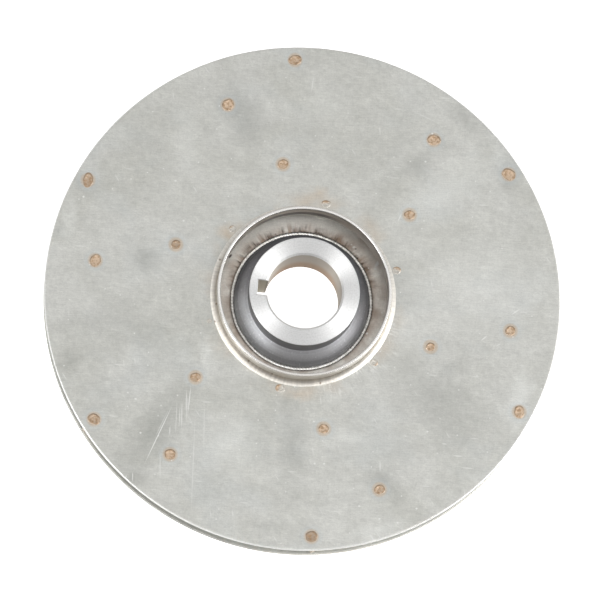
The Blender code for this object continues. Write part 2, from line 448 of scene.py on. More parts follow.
def streaks(
    tree: Tree,
    pitch: tuple[float, float, float],
    turn: float = 0.0,
    detail: float = 2.0,
    span: tuple[float, float] = (0.3, 0.7),
    shift: float = 0.0,
    bend: float = 0.0,
) -> Socket:
    """Lay a noise whose grains are pitch millimetres long along the piece's turned axes.

    Args:
        tree: The node tree.
        pitch: Grain length along x, y and z in millimetres.
        turn: Turn of the pattern about the shaft in degrees.
        detail: Octaves of finer noise.
        span: Noise values that become 0 and 1.
        shift: Distance in metres that tells patterns of one pitch apart.
        bend: How far the grains wander, in grains.

    Returns:
        A socket from 0 to 1.
    """
    place = add_node(tree, "TexCoord").outputs["Object"]
    lay = {"Vector": place, "Location": (shift,) * 3, "Rotation": (0, 0, math.radians(turn))}
    turned = add_node(tree, "Mapping", lay).outputs[0]
    size = {0: turned, 1: tuple(1 / (p * MM) for p in pitch)}
    fitted = add_node(tree, "VectorMath", size, operation="MULTIPLY").outputs[0]
    grain = {"Vector": fitted, "Scale": 1.0, "Detail": detail, "Distortion": bend}
    noise = add_node(tree, "TexNoise", grain).outputs[0]
    levels = {"Value": noise, "From Min": span[0], "From Max": span[1]}
    return add_node(tree, "MapRange", levels).outputs[0]


def flecks(
    tree: Tree, cell: tuple[float, float], reach: float, share: float, turn: float = 0.0
) -> Socket:
    """Scatter small marks, one in each kept cell of a stretched Voronoi pattern.

    A mark is where the stretched distance to the cell's point is under reach, so it is as many
    times longer than wide as its cell is. It fades out over the outer 0.6 of it. A cell is kept
    where its own random value is high, and 0.4 of the kept ones hold a paler mark.

    Args:
        tree: The node tree.
        cell: Cell length and width in millimetres.
        reach: Mark size as a share of the cell.
        share: Share of the cells that hold a mark.
        turn: Turn of the marks in degrees.

    Returns:
        A socket from 0 to 1.
    """
    place = add_node(tree, "TexCoord").outputs["Object"]
    lay = {"Vector": place, "Rotation": (0, 0, math.radians(turn))}
    turned = add_node(tree, "Mapping", lay).outputs[0]
    size = {0: turned, 1: (1 / (cell[0] * MM), 1 / (cell[1] * MM), 0)}
    fitted = add_node(tree, "VectorMath", size, operation="MULTIPLY").outputs[0]
    pattern = {"Vector": fitted, "Scale": 1.0}
    cells = add_node(tree, "TexVoronoi", pattern, voronoi_dimensions="2D").outputs
    fade = {"Value": cells["Distance"], "From Min": reach, "From Max": reach * 0.4}
    near = add_node(tree, "MapRange", fade).outputs[0]
    chance = add_node(tree, "SeparateColor", {0: cells["Color"]}).outputs[0]
    pick = {"Value": chance, "From Min": 1 - share, "From Max": 1 - share * 0.6}
    kept = add_node(tree, "MapRange", pick).outputs[0]
    return add_node(tree, "Math", {0: near, 1: kept}, operation="MULTIPLY").outputs[0]


@dataclass(frozen=True)
class Mark:
    """One mark on a sheet: its middle, half length and half width in mm, its turn, its strength."""

    x: float
    y: float
    length: float
    width: float
    turn: float = 0.0
    strength: float = 1.0

    @classmethod
    def line(
        cls, start: tuple[float, float], end: tuple[float, float], width: float, strength: float
    ) -> "Mark":
        """Lay a scratch from one point to another.

        Args:
            start: One end in mm.
            end: The other end in mm.
            width: Its whole width in mm.
            strength: Its strength.

        Returns:
            The mark.
        """
        way = (end[0] - start[0], end[1] - start[1])
        turn = math.degrees(math.atan2(way[1], way[0]))
        middle = ((start[0] + end[0]) / 2, (start[1] + end[1]) / 2)
        return cls(*middle, math.hypot(*way) / 2, width / 2, turn, strength)


def marks(tree: Tree, places: Sequence[Mark], soft: float, ragged: float = 0.0) -> Socket:
    """Draw chosen marks as ellipses: 1 - the distance from the middle in half lengths and widths.

    Args:
        tree: The node tree.
        places: The marks.
        soft: Share of a mark over which it fades out.
        ragged: Distance in millimetres by which noise bends the marks' edges.

    Returns:
        A socket from 0 to 1, the strongest mark at each place.
    """
    place = add_node(tree, "TexCoord").outputs["Object"]
    if ragged:
        noise = add_node(tree, "TexNoise", {"Vector": place, "Scale": 1 / RAGGED_GRAIN, "Detail": 3.0})
        push = {0: noise.outputs["Color"], 1: (0.5, 0.5, 0.5)}
        centred = add_node(tree, "VectorMath", push, operation="SUBTRACT").outputs[0]
        bend = {0: centred, 1: (ragged * 2 * MM,) * 3, 2: place}
        place = add_node(tree, "VectorMath", bend, operation="MULTIPLY_ADD").outputs[0]
    total: Socket | float = 0.0
    for mark in places:
        lay = {
            "Vector": place,
            "Location": (mark.x * MM, mark.y * MM, 0),
            "Rotation": (0, 0, math.radians(mark.turn)),
            "Scale": (mark.length * MM, mark.width * MM, 1.0),
        }
        fitted = add_node(tree, "Mapping", lay, vector_type="TEXTURE").outputs[0]
        fade = add_node(tree, "TexGradient", {"Vector": fitted}, gradient_type="SPHERICAL").outputs[1]
        held = {"Value": fade, "From Max": soft, "To Max": mark.strength}
        level = add_node(tree, "MapRange", held).outputs[0]
        total = add_node(tree, "Math", {0: level, 1: total}, operation="MAXIMUM").outputs[0]
    return total


@dataclass(frozen=True)
class Layer:
    """One thin layer on a metal.

    With a tone, it covers what lies below by low where its masks are 0 and by high where all are 1.
    Without a tone it multiplies what lies below by those two values.
    """

    masks: tuple[Socket, ...]
    low: float = 0.0
    high: float = 1.0
    tone: str = ""


def layered(tree: Tree, base: Socket | str, layers: Sequence[Layer]) -> Socket:
    """Lay layers one after another over a base, each by the product of its masks.

    Args:
        tree: The node tree.
        base: The lowest colour, or its sRGB code.
        layers: The layers from the lowest up.

    Returns:
        The colour on top.
    """
    colour = linear(base) if isinstance(base, str) else base
    for layer in layers:
        amount = layer.masks[0]
        for mask in layer.masks[1:]:
            amount = add_node(tree, "Math", {0: amount, 1: mask}, operation="MULTIPLY").outputs[0]
        reach = {"Value": amount, "To Min": layer.low, "To Max": layer.high}
        amount = add_node(tree, "MapRange", reach).outputs[0]
        if layer.tone:
            inputs, mode = {0: amount, 6: colour, 7: linear(layer.tone)}, "MIX"
        else:
            inputs, mode = {0: 1.0, 6: colour, 7: amount}, "MULTIPLY"
        colour = add_node(tree, "Mix", inputs, data_type="RGBA", blend_type=mode).outputs[2]
    return colour


@dataclass
class Polar:
    """Where a surface point lies round the shaft, for patterns that follow it."""

    tree: Tree
    radius: Socket
    way: Socket
    height: Socket

    @classmethod
    def of(cls, tree: Tree) -> "Polar":
        """Work out the radius, the unit vector away from the shaft, and the height.

        Args:
            tree: The node tree.

        Returns:
            The three as sockets.
        """
        place = add_node(tree, "TexCoord").outputs["Object"]
        flat = {0: place, 1: (1, 1, 0)}
        away = add_node(tree, "VectorMath", flat, operation="MULTIPLY").outputs[0]
        radius = add_node(tree, "VectorMath", {0: away}, operation="LENGTH").outputs["Value"]
        way = add_node(tree, "VectorMath", {0: away}, operation="NORMALIZE").outputs[0]
        return cls(tree, radius, way, add_node(tree, "SeparateXYZ", {0: place}).outputs[2])

    def zone(
        self,
        radii: tuple[float, float] | None = None,
        heights: tuple[float, float] | None = None,
        turn: tuple[float, float, float] | None = None,
        above: tuple[float, float] | None = None,
    ) -> Socket:
        """Return 1 inside a zone round the shaft, easing to 0 outside it.

        Args:
            radii: Radii in mm at which the zone is full and at which it is gone.
            heights: Heights in mm at which it is full and at which it is gone.
            turn: Direction in degrees from +X, and the degrees off it at which it is full and gone.
            above: A second pair of heights, for a zone that ends both ways.

        Returns:
            A socket from 0 to 1, the product of the limits that are given.
        """
        limits = []
        if radii:
            limits.append({"Value": self.radius, "From Min": radii[1] * MM, "From Max": radii[0] * MM})
        for span in (heights, above):
            if span:
                ends = {"From Min": span[1] * MM, "From Max": span[0] * MM}
                limits.append({"Value": self.height, **ends})
        if turn:
            towards, full, gone = (math.radians(part) for part in turn)
            aim = {0: self.way, 1: (math.cos(towards), math.sin(towards), 0)}
            facing = add_node(self.tree, "VectorMath", aim, operation="DOT_PRODUCT").outputs["Value"]
            limits.append({"Value": facing, "From Min": math.cos(gone), "From Max": math.cos(full)})
        total: Socket | float = 1.0
        for limit in limits:
            eased = add_node(self.tree, "MapRange", limit, interpolation_type="SMOOTHSTEP").outputs[0]
            total = add_node(self.tree, "Math", {0: eased, 1: total}, operation="MULTIPLY").outputs[0]
        return total

    def rays(self, pitch: float, length: float, radius: float, span: tuple[float, float]) -> Socket:
        """Draw streaks that run straight out from the shaft.

        The noise is read at the unit vector times radius / pitch, with the point's own radius over
        length along its third axis, so it has no seam.

        Args:
            pitch: Streak spacing in mm, at the given radius.
            length: Streak length in mm.
            radius: Radius in mm.
            span: Noise values that become 0 and 1.

        Returns:
            A socket from 0 to 1.
        """
        around = {0: self.way, "Scale": radius / pitch}
        turned = add_node(self.tree, "VectorMath", around, operation="SCALE").outputs[0]
        out = {0: self.radius, 1: length * MM}
        share = add_node(self.tree, "Math", out, operation="DIVIDE").outputs[0]
        lifted = add_node(self.tree, "CombineXYZ", {2: share}).outputs[0]
        place = add_node(self.tree, "VectorMath", {0: turned, 1: lifted}, operation="ADD").outputs[0]
        grain = {"Vector": place, "Scale": 1.0, "Detail": 2.0}
        noise = add_node(self.tree, "TexNoise", grain).outputs[0]
        levels = {"Value": noise, "From Min": span[0], "From Max": span[1]}
        return add_node(self.tree, "MapRange", levels).outputs[0]

    def grooves(self, pitch: float, span: tuple[float, float]) -> Socket:
        """Draw rings round the shaft: a noise along radius plus height.

        Args:
            pitch: Ring spacing in mm.
            span: Noise values that become 0 and 1.

        Returns:
            A socket from 0 to 1.
        """
        along = {0: self.radius, 1: self.height}
        total = add_node(self.tree, "Math", along, operation="ADD").outputs[0]
        steps = add_node(self.tree, "Math", {0: total, 1: pitch * MM}, operation="DIVIDE").outputs[0]
        grain = {"W": steps, "Scale": 1.0, "Detail": 3.0}
        noise = add_node(self.tree, "TexNoise", grain, noise_dimensions="1D").outputs[0]
        levels = {"Value": noise, "From Min": span[0], "From Max": span[1]}
        return add_node(self.tree, "MapRange", levels).outputs[0]


def attribute_zone(tree: Tree, name: str, none: float, full: float) -> Socket:
    """Read one of the values that a piece carries at its points.

    Args:
        tree: The node tree.
        name: The value's name.
        none: Value that becomes 0.
        full: Value that becomes 1, with an eased rise between them.

    Returns:
        A socket from 0 to 1.
    """
    value = add_node(tree, "Attribute", attribute_name=name).outputs["Fac"]
    limit = {"Value": value, "From Min": none, "From Max": full}
    return add_node(tree, "MapRange", limit, interpolation_type="SMOOTHSTEP").outputs[0]


@dataclass(frozen=True)
class Finish:
    """A metal finish: its reflection as an sRGB colour and its roughness. A sub-class dresses it."""

    name: str
    colour: str
    roughness: float

    def build(self) -> Material:
        """Make the material.

        Returns:
            The material, dressed.
        """
        material = bpy.data.materials.new(self.name)
        material.use_nodes = True
        tree = material.node_tree
        shader = tree.nodes["Principled BSDF"]
        shader.inputs["Metallic"].default_value = 1.0
        shader.inputs["Roughness"].default_value = self.roughness
        self.dress(tree, shader)
        return material

    def dress(self, tree: Tree, shader: Node) -> None:
        """Leave the metal plain."""
        shader.inputs["Base Color"].default_value = linear(self.colour)

    def wire(
        self,
        tree: Tree,
        shader: Node,
        colour: Socket,
        relief: tuple[Socket, float],
        gloss: tuple[Socket, float, float | Socket],
    ) -> None:
        """Feed the shader.

        Args:
            tree: The node tree.
            shader: Its Principled shader.
            colour: The surface's colour.
            relief: Height of its fine relief from 0 to 1, and that relief's depth in millimetres.
            gloss: A mask, with the roughness where it is 0 and where it is 1.
        """
        bump = add_node(tree, "Bump", {"Height": relief[0], "Distance": relief[1] * MM})
        rough = {"Value": gloss[0], "To Min": gloss[1], "To Max": gloss[2]}
        tree.links.new(colour, shader.inputs["Base Color"])
        tree.links.new(bump.outputs[0], shader.inputs["Normal"])
        tree.links.new(add_node(tree, "MapRange", rough).outputs[0], shader.inputs["Roughness"])


@dataclass(frozen=True)
class ColdRolledSheet(Finish):
    """Cold-rolled stainless sheet, handled bare in the shop.

    The mill's rolls leave a dull, even grey. Wiping and stacking leave broad clouds, and dragging
    over benches leaves short fine lines, mostly along it, bright specks and single scratches. The
    real lines are about 0.05 mm apart, drawn 0.4 mm apart so that they show.
    """

    dull: str = "c4c4be"
    cool: str = "c4c9ca"
    bright: str = "ecece9"
    smudge_and_shade: str = "9a9b96"
    pale: str = "ebece8"
    straw: str = "c9b8a3"
    lines_turn: float = -4.5
    smudges_and_shade: tuple[Mark, ...] = ()
    pale_places: tuple[Mark, ...] = ()
    warm_places: tuple[Mark, ...] = ()
    scratches: tuple[Mark, ...] = ()

    def dress(self, tree: Tree, shader: Node) -> None:
        """Draw clouds, patches partly of handling and partly painted reflection, drag lines, specks,
        scratches and weld heat.

        Args:
            tree: The node tree.
            shader: Its Principled shader.
        """
        cloud = streaks(tree, (38, 30, 38), detail=6, span=(0.36, 0.64), bend=0.8)
        small = streaks(tree, (8, 5, 8), 25, detail=4, shift=0.3, bend=0.6)
        fine = streaks(tree, (2.2, 1.6, 2.2), 12, detail=3, shift=0.2, bend=0.6)
        drift = streaks(tree, (28, 22, 28), detail=3, span=(0.5, 0.7), shift=0.7)
        worn = streaks(tree, (12, 9, 12), detail=3, span=(0.42, 0.6), shift=1.1)
        grain = streaks(tree, (0.6, 0.5, 0.6), detail=2, span=(0.25, 0.75), bend=0.5)
        along = streaks(tree, (4.2, 0.42, 2), self.lines_turn, span=(0.25, 0.75), bend=0.7)
        slant = streaks(tree, (3.4, 0.5, 2), 24, span=(0.25, 0.75), shift=0.4, bend=0.7)
        across = streaks(tree, (0.5, 4.0, 2), 4, span=(0.25, 0.75), shift=0.5, bend=0.7)
        layers = [
            Layer((cloud,), tone=self.colour),
            Layer((small,), 0.965, 1.03),
            Layer((fine,), 0.94, 1.06),
            Layer((drift,), 0.0, 0.25, self.cool),
        ]
        # The dark and pale patches are partly handling marks and partly painted reflection of the light's
        # broad bands.
        places = (
            (self.smudges_and_shade, self.smudge_and_shade, 0.64),
            (self.pale_places, self.pale, 0.75),
            (self.warm_places, self.straw, 0.6),
        )
        for group, tone, amount in places:
            if group:
                layers.append(Layer((marks(tree, group, 0.9, ragged=5.0),), 0.0, amount, tone))
        layers += self.heat(tree)
        layers += [
            Layer((along,), 0.935, 1.065),
            Layer((slant, worn), 0.985, 1.07),
            Layer((across,), 0.97, 1.03),
            Layer((grain,), 0.93, 1.07),
            Layer((flecks(tree, (7.0, 7.0), 0.06, 0.2),), 0.0, 0.7, self.bright),
        ]
        for size, reach, share, turn in (
            ((19.0, 2.6), 0.14, 0.12, 3),
            ((23.0, 3.4), 0.1, 0.1, 84),
            ((21.0, 3.0), 0.11, 0.12, 58),
        ):
            drags = flecks(tree, size, reach, share, self.lines_turn + turn)
            layers.append(Layer((drags, worn), 0.0, 0.45, self.bright))
        if self.scratches:
            layers.append(Layer((marks(tree, self.scratches, 0.5),), 0.0, 0.75, self.bright))
        colour = layered(tree, self.dull, layers)
        lines = add_node(tree, "Math", {0: along, 1: across}, operation="ADD").outputs[0]
        gloss = (cloud, self.roughness + 0.05, self.roughness - 0.04)
        self.wire(tree, shader, colour, (lines, 0.003), gloss)

    def heat(self, tree: Tree) -> list[Layer]:
        """Return a blue-grey halo and a straw edge round each spot weld clear of the eye."""
        past_eye = Polar.of(tree).zone(radii=(52.0, 43.0))
        return [
            Layer((attribute_zone(tree, "spot_distance", 6.0, 3.2), past_eye), 0.0, 0.35, self.cool),
            Layer((attribute_zone(tree, "spot_distance", 3.8, 2.5), past_eye), 0.0, 0.75, self.straw),
        ]


@dataclass(frozen=True)
class InletSheet(ColdRolledSheet):
    """The front disc's sheet, dressed with a flap wheel round the collar's fillet.

    The wheel leaves short bright strokes that run out from the collar, and the weld's heat leaves
    a faint straw tint past them. A painted highlight runs round the sheared edge, with painted
    shade at its lower corner.
    """

    edge: str = "fbfbf8"
    painted_edge_shade: str = "7f7f7b"

    def heat(self, tree: Tree) -> list[Layer]:
        """Add straw tint and the wheel's strokes round the collar, and the sheared edge's painted highlight
        and shade.

        Args:
            tree: The node tree.

        Returns:
            The layers from the lowest up.
        """
        polar = Polar.of(tree)
        patchy = streaks(tree, (13, 13, 13), detail=3, span=(0.45, 0.75), shift=0.9)
        strokes = polar.rays(0.9, 6.0, 41.0, (0.48, 0.68))
        broken = streaks(tree, (6, 6, 6), detail=2, span=(0.4, 0.6), shift=1.5)
        worked = polar.zone(radii=(40.5, 50.0), turn=(-44, 12, 48))
        return [
            Layer((polar.zone(radii=(40.5, 48.0)), patchy), 0.0, 0.55, self.straw),
            *super().heat(tree),
            Layer((worked, strokes, broken), 0.0, 0.7, self.edge),
            # Painted highlight: the sheared edge is drawn near white all round.
            Layer((polar.zone(radii=(109.8, 109.3)),), tone=self.edge),
            # Painted shade at the sheared edge's lower corner.
            Layer((polar.zone(radii=(109.8, 109.3), heights=(13.5, 13.7)),), 0.0, 0.8, self.painted_edge_shade),
        ]


@dataclass(frozen=True)
class RearSheet(ColdRolledSheet):
    """The rear disc's sheet, with soot and heat tint blown out from the hub's weld.

    The arc leaves dark streaks a few millimetres long beside the bead, then brown and straw. Inside
    the eye the sheet is drawn paler, painted light where light falls on it through the eye, with a
    few dark nicks, and a painted highlight lies on part of the rim.
    """

    soot: str = "54463f"
    brown: str = "a5907f"
    painted_light_tone: str = "f1eee7"
    nicks: tuple[Mark, ...] = ()

    def heat(self, tree: Tree) -> list[Layer]:
        """Add the hub weld's tint and soot to the spot welds' tint.

        Args:
            tree: The node tree.

        Returns:
            The layers from the lowest up.
        """
        polar = Polar.of(tree)
        patchy = streaks(tree, (7, 7, 7), detail=3, span=(0.3, 0.7), shift=0.2)
        clumps = streaks(tree, (4, 4, 4), detail=2, span=(0.35, 0.6), shift=0.6)
        streak = polar.rays(1.0, 9.0, 31.0, (0.38, 0.62))
        long_streak = polar.rays(2.2, 16.0, 31.0, (0.5, 0.68))
        ring = polar.zone(radii=(39.0, 48.0))
        return [
            *super().heat(tree),
            # Painted light: the sheet inside the eye is drawn paler.
            Layer((ring, polar.zone(above=(4.3, 3.9))), tone=self.painted_light_tone),
            Layer((ring, polar.zone(turn=(12, 35, 75)), patchy), 0.0, 0.6, self.brown),
            Layer((ring, polar.zone(turn=(185, 30, 70)), patchy), 0.0, 0.35, self.brown),
            Layer((polar.zone(radii=(31.2, 36.5)), patchy), 0.0, 0.5, self.brown),
            Layer((polar.zone(radii=(30.5, 33.5)), clumps), 0.0, 0.45, self.brown),
            Layer((polar.zone(radii=(30.3, 31.6)),), 0.0, 0.55, self.soot),
            Layer((polar.zone(radii=(30.6, 34.6), turn=(92, 50, 95)), streak, clumps), 0.0, 1.0, self.soot),
            Layer((polar.zone(radii=(30.6, 36.2), turn=(95, 45, 90)), long_streak), 0.0, 0.85, self.brown),
            Layer((marks(tree, self.nicks, 0.6, ragged=0.8),), 0.0, 0.9, self.soot),
            # Painted highlight on the rim towards -40 degrees.
            Layer((polar.zone(radii=(109.8, 109.3), turn=(-40, 25, 70)),), 0.0, 0.8, self.painted_light_tone),
        ]


@dataclass(frozen=True)
class TurnedSteel(Finish):
    """The hub: stainless bar turned on a lathe, faced bright, bored and broached.

    The tool leaves fine rings, so highlights spread into bands that run out from the shaft. The
    barrel is drawn darker than the face, painted shade for the dark surroundings it reflects. The
    shoulder is turned coarser than the face. It is drawn darker on its +Y side, and a painted
    highlight lies on it towards 214 degrees. The bore's wall is drawn beige-grey, partly a thin
    brown layer on it and partly painted shade, browner lower down on its +Y side, and the broached
    keyway is bare. The real rings are about 0.1 mm apart, drawn 0.3 mm apart so that they show.
    """

    flank: str = "a8a8aa"
    shoulder: str = "e2e2e5"
    shoulder_dark_side: str = "85858a"
    painted_shoulder_highlight: str = "fafcff"
    film_and_shade: str = "b9b2a9"
    deep_film_and_shade: str = "ae9680"
    broached: str = "d8d2c6"
    flank_roughness: float = 0.32
    shoulder_roughness: float = 0.5

    def dress(self, tree: Tree, shader: Node) -> None:
        """Draw the tool's rings, the barrel's painted shade, the shoulder's dark side and painted
        highlight, and the bore.

        Args:
            tree: The node tree.
            shader: Its Principled shader.
        """
        polar = Polar.of(tree)
        rings = polar.grooves(0.3, (0.3, 0.7))
        coarse = polar.grooves(0.8, (0.4, 0.6))
        low = polar.zone(radii=(22.8, 22.0), heights=(21.9, 22.3), above=(0.5, 0.3))
        flare = polar.zone(radii=(22.8, 22.0), heights=(12.0, 12.3), above=(0.5, 0.3))
        grain = streaks(tree, (0.7, 0.7, 0.7), detail=3)
        sparkle = flecks(tree, (1.3, 1.3), 0.3, 0.25)
        inside = (attribute_zone(tree, "bore", 0.1, 0.9), polar.zone(heights=(21.5, 21.8)))
        layers = [
            # Painted shade: the barrel is drawn darker than the face, for the dark surroundings it
            # reflects.
            Layer((low,), tone=self.flank),
            Layer((flare,), tone=self.shoulder),
            # The shoulder is drawn darker on its +Y side.
            Layer((flare, polar.zone(turn=(88, 60, 118))), 0.0, 0.85, self.shoulder_dark_side),
            # Painted highlight on the shoulder towards 214 degrees.
            Layer((flare, polar.zone(turn=(214, 14, 40))), 0.0, 1.0, self.painted_shoulder_highlight),
            Layer((rings,), 0.95, 1.03),
            Layer((rings, flare), 1.0, 0.82),
            Layer((coarse, flare), 1.04, 0.88),
            Layer((grain,), 0.93, 1.05),
            Layer((sparkle,), 1.0, 1.05),
            Layer((sparkle, flare), 1.0, 1.15),
            # The bore's colour is partly a thin brown layer and partly painted shade, browner lower down on
            # the +Y side.
            Layer(inside, tone=self.film_and_shade),
            Layer((*inside, polar.zone(radii=(16.9, 16.2))), tone=self.broached),
            Layer((*inside, polar.zone(heights=(6.0, 13.0), turn=(85, 40, 75))), 0.0, 0.8, self.deep_film_and_shade),
        ]
        shader.inputs["Anisotropic"].default_value = 0.9
        shader.inputs["Anisotropic Rotation"].default_value = 0.25
        around = add_node(tree, "Tangent", direction_type="RADIAL", axis="Z")
        tree.links.new(around.outputs[0], shader.inputs["Tangent"])
        colour = layered(tree, self.colour, layers)
        spread = {"Value": flare, "To Min": self.flank_roughness, "To Max": self.shoulder_roughness}
        below = add_node(tree, "MapRange", spread).outputs[0]
        self.wire(tree, shader, colour, (rings, 0.003), (low, self.roughness, below))


@dataclass(frozen=True)
class RolledStrip(Finish):
    """The collar: stainless strip rolled to a ring and dressed by hand after welding.

    Its rim is polished by the wheel, fine lines run round it, and heat leaves beige patches on its
    wall. Painted shade lies beige on its near (-Y) side, its inner wall is drawn beige on the +Y
    side, and a dark painted shadow lies low down on the +Y side.
    """

    tint: str = "b9ac9c"
    rim: str = "fbf9f5"
    scale: str = "5e5a57"

    def dress(self, tree: Tree, shader: Node) -> None:
        """Draw the lines round it, the heat's tints, painted shade and shadow, and the polished rim.

        Args:
            tree: The node tree.
            shader: Its Principled shader.
        """
        polar = Polar.of(tree)
        patchy = streaks(tree, (8, 8, 5), detail=3)
        lines = polar.grooves(0.35, (0.3, 0.7))
        outer = polar.zone(radii=(36.9, 36.2))
        inner = polar.zone(radii=(36.2, 36.9))
        wall = polar.zone(heights=(22.5, 22.9))
        layers = [
            Layer((wall,), tone=self.colour),
            Layer((wall, outer), tone=self.rim),
            Layer((wall, patchy), 0.0, 0.25, self.tint),
            # Painted shade: the near (-Y) side is drawn beige, rim included.
            Layer((polar.zone(turn=(268, 10, 45)),), 0.0, 0.2, self.tint),
            Layer((wall, inner, polar.zone(turn=(100, 15, 50))), 0.0, 0.5, self.tint),
            # Painted shadow: dark low down on the +Y side, at the wall's foot.
            Layer((polar.zone(heights=(17.0, 19.2), turn=(99, 14, 36)),), 0.0, 1.0, self.scale),
            Layer((lines,), 0.92, 1.05),
        ]
        colour = layered(tree, self.rim, layers)
        self.wire(tree, shader, colour, (lines, 0.004), (wall, 0.2, self.roughness))


@dataclass(frozen=True)
class GroundFillet(Finish):
    """The collar's fillet weld, ground nearly smooth.

    Grinding leaves it brighter than the sheet, with pits that stay brown. Painted shade lies over it
    towards 228 degrees, short of its outer toe, and in its root at the wall towards 320 degrees.
    """

    pit_and_shade: str = "8d7c6a"
    straw: str = "b8a693"

    def dress(self, tree: Tree, shader: Node) -> None:
        """Draw grinding strokes and pits, a straw tint near the collar, and painted shade on two sides.

        Args:
            tree: The node tree.
            shader: Its Principled shader.
        """
        polar = Polar.of(tree)
        strokes = polar.rays(0.8, 5.0, 38.0, (0.3, 0.7))
        pits = flecks(tree, (2.6, 2.6), 0.22, 0.12)
        layers = [
            Layer((polar.zone(radii=(37.2, 38.2)),), 0.0, 0.2, self.straw),
            # Painted shade: over the fillet towards 228 degrees, and in its root at the wall towards 320
            # degrees.
            Layer((polar.zone(radii=(38.6, 39.1), turn=(228, 45, 85)),), 0.0, 0.3, self.pit_and_shade),
            Layer((polar.zone(radii=(36.9, 37.3), turn=(320, 25, 50)),), 0.0, 0.7, self.pit_and_shade),
            Layer((strokes,), 0.9, 1.1),
            Layer((pits,), 0.0, 0.8, self.pit_and_shade),
        ]
        colour = layered(tree, self.colour, layers)
        self.wire(tree, shader, colour, (strokes, 0.02), (strokes, self.roughness, self.roughness + 0.1))


@dataclass(frozen=True)
class ArcWeld(Finish):
    """A machine-laid arc weld: bright frozen ripples with grey scale in their hollows."""

    scale: str = "6f6a66"

    def dress(self, tree: Tree, shader: Node) -> None:
        """Darken the hollows between ripples, cloud the crests, and paint shade on two sides.

        Args:
            tree: The node tree.
            shader: Its Principled shader.
        """
        clear = attribute_zone(tree, "crest", -0.1, 0.4)
        grain = streaks(tree, (1.4, 1.4, 1.4), detail=2)
        polar = Polar.of(tree)
        layers = [
            Layer((clear,), tone=self.colour),
            # Painted shade on two sides of the bead.
            Layer((polar.zone(turn=(20, 35, 75)),), 0.0, 0.35, self.scale),
            Layer((polar.zone(turn=(190, 25, 60)),), 0.0, 0.35, self.scale),
            Layer((grain,), 0.72, 1.25),
        ]
        colour = layered(tree, self.scale, layers)
        self.wire(tree, shader, colour, (grain, 0.01), (clear, self.roughness + 0.2, self.roughness))


@dataclass(frozen=True)
class ResistanceSpot(Finish):
    """The face of a spot weld, pressed by a copper electrode and never cleaned.

    The heat leaves straw and tan inside a darker brown ring, with copper-coloured blotches.
    """

    ring: str = "9c8873"
    blotch: str = "a88c70"
    glowing: str = "d2bba3"
    sheet: str = "cbc7bf"

    def dress(self, tree: Tree, shader: Node) -> None:
        """Draw the lighter middle, the blotches, the brown ring, and the sheet's own colour round it.

        Args:
            tree: The node tree.
            shader: Its Principled shader.
        """
        blotch = streaks(tree, (1.3, 1.3, 1.3), detail=3, span=(0.45, 0.62))
        uneven_edge = streaks(tree, (1.8, 1.8, 1.8), detail=2, span=(0.3, 0.6), shift=0.3)
        layers = [
            Layer((attribute_zone(tree, "glow", 0.0, 1.0),), 0.0, 1.0, self.glowing),
            Layer((blotch,), 0.0, 0.8, self.blotch),
            Layer((attribute_zone(tree, "ring", 0.62, 0.84), uneven_edge), 0.0, 0.85, self.ring),
            Layer((attribute_zone(tree, "ring", 0.86, 1.0),), 0.0, 0.8, self.sheet),
            Layer((attribute_zone(tree, "dressed", 0.1, 0.9),), tone=self.sheet),
        ]
        colour = layered(tree, self.colour, layers)
        self.wire(tree, shader, colour, (blotch, 0.03), (blotch, self.roughness, self.roughness + 0.12))


@dataclass
class Disc:
    """One flat disc of the impeller, pressed slightly out of true by its welds."""

    layout: Layout
    name: str
    inner_radius: float
    bottom: float
    top: float
    fine_face: Face
    edge_rounding: float = 0.5 * MM
    columns: int = 640
    fine_step: float = 0.85 * MM
    coarse_step: float = 2.2 * MM
    waves: int = 5
    wave_height: float = 0.1 * MM
    shortest_wave: float = 70 * MM
    longest_wave: float = 150 * MM
    crossing: float = 2.2
    held: float = 4 * MM
    freed: float = 40 * MM
    seed: int = 3

    def lift(self, x: np.ndarray, y: np.ndarray) -> np.ndarray:
        """Return how far the sheet stands off true: crossed waves that die out at its welded hole.

        The waves' sum is divided by crossing, which it seldom passes. It fades in from held past
        the hole, over a distance of freed.

        Args:
            x: First coordinates.
            y: Second coordinates.

        Returns:
            The lifts along the shaft, of the same shape.
        """
        chance = np.random.default_rng(self.seed)
        lengths = chance.uniform(self.shortest_wave, self.longest_wave, self.waves)
        ways = chance.uniform(0, math.tau, self.waves)
        phases = chance.uniform(0, math.tau, self.waves)
        waves = sum(
            np.sin(math.tau / length * (x * math.cos(way) + y * math.sin(way)) + phase)
            for length, way, phase in zip(lengths, ways, phases)
        )
        free = smooth_step((np.hypot(x, y) - self.inner_radius - self.held) / self.freed)
        return self.wave_height * free * waves / self.crossing

    def surface(self) -> Surface:
        """Revolve the section with rounded edges, and bend it by the sheet's waves.

        Returns:
            The disc's skin, with each point's distance in mm from the nearest spot weld.
        """
        edge = self.edge_rounding
        outer = self.layout.disc_radius
        corners = [
            (outer, self.top, edge),
            (outer, self.bottom, edge),
            (self.inner_radius, self.bottom, edge),
            (self.inner_radius, self.top, edge),
        ]
        outline = rounded_outline(corners)
        middle = (self.bottom + self.top) / 2
        fine = (outline[:, 1] - middle) * self.fine_face.value > 0
        outline = refined(outline, np.where(fine, self.fine_step, self.coarse_step))
        grid = revolved(outline, self.columns)
        grid[..., 2] += self.lift(grid[..., 0], grid[..., 1])
        away = np.full(grid.shape[:2], 1.0)
        for x, y in self.layout.spots.reshape(-1, 2):
            away = np.minimum(away, np.hypot(grid[..., 0] - x, grid[..., 1] - y))
        return Surface.ring(grid, spot_distance=away / MM)

    def build(self, finish: Material) -> None:
        """Make the disc and dress it."""
        put_piece(self.name, self.surface(), finish, [self.name])


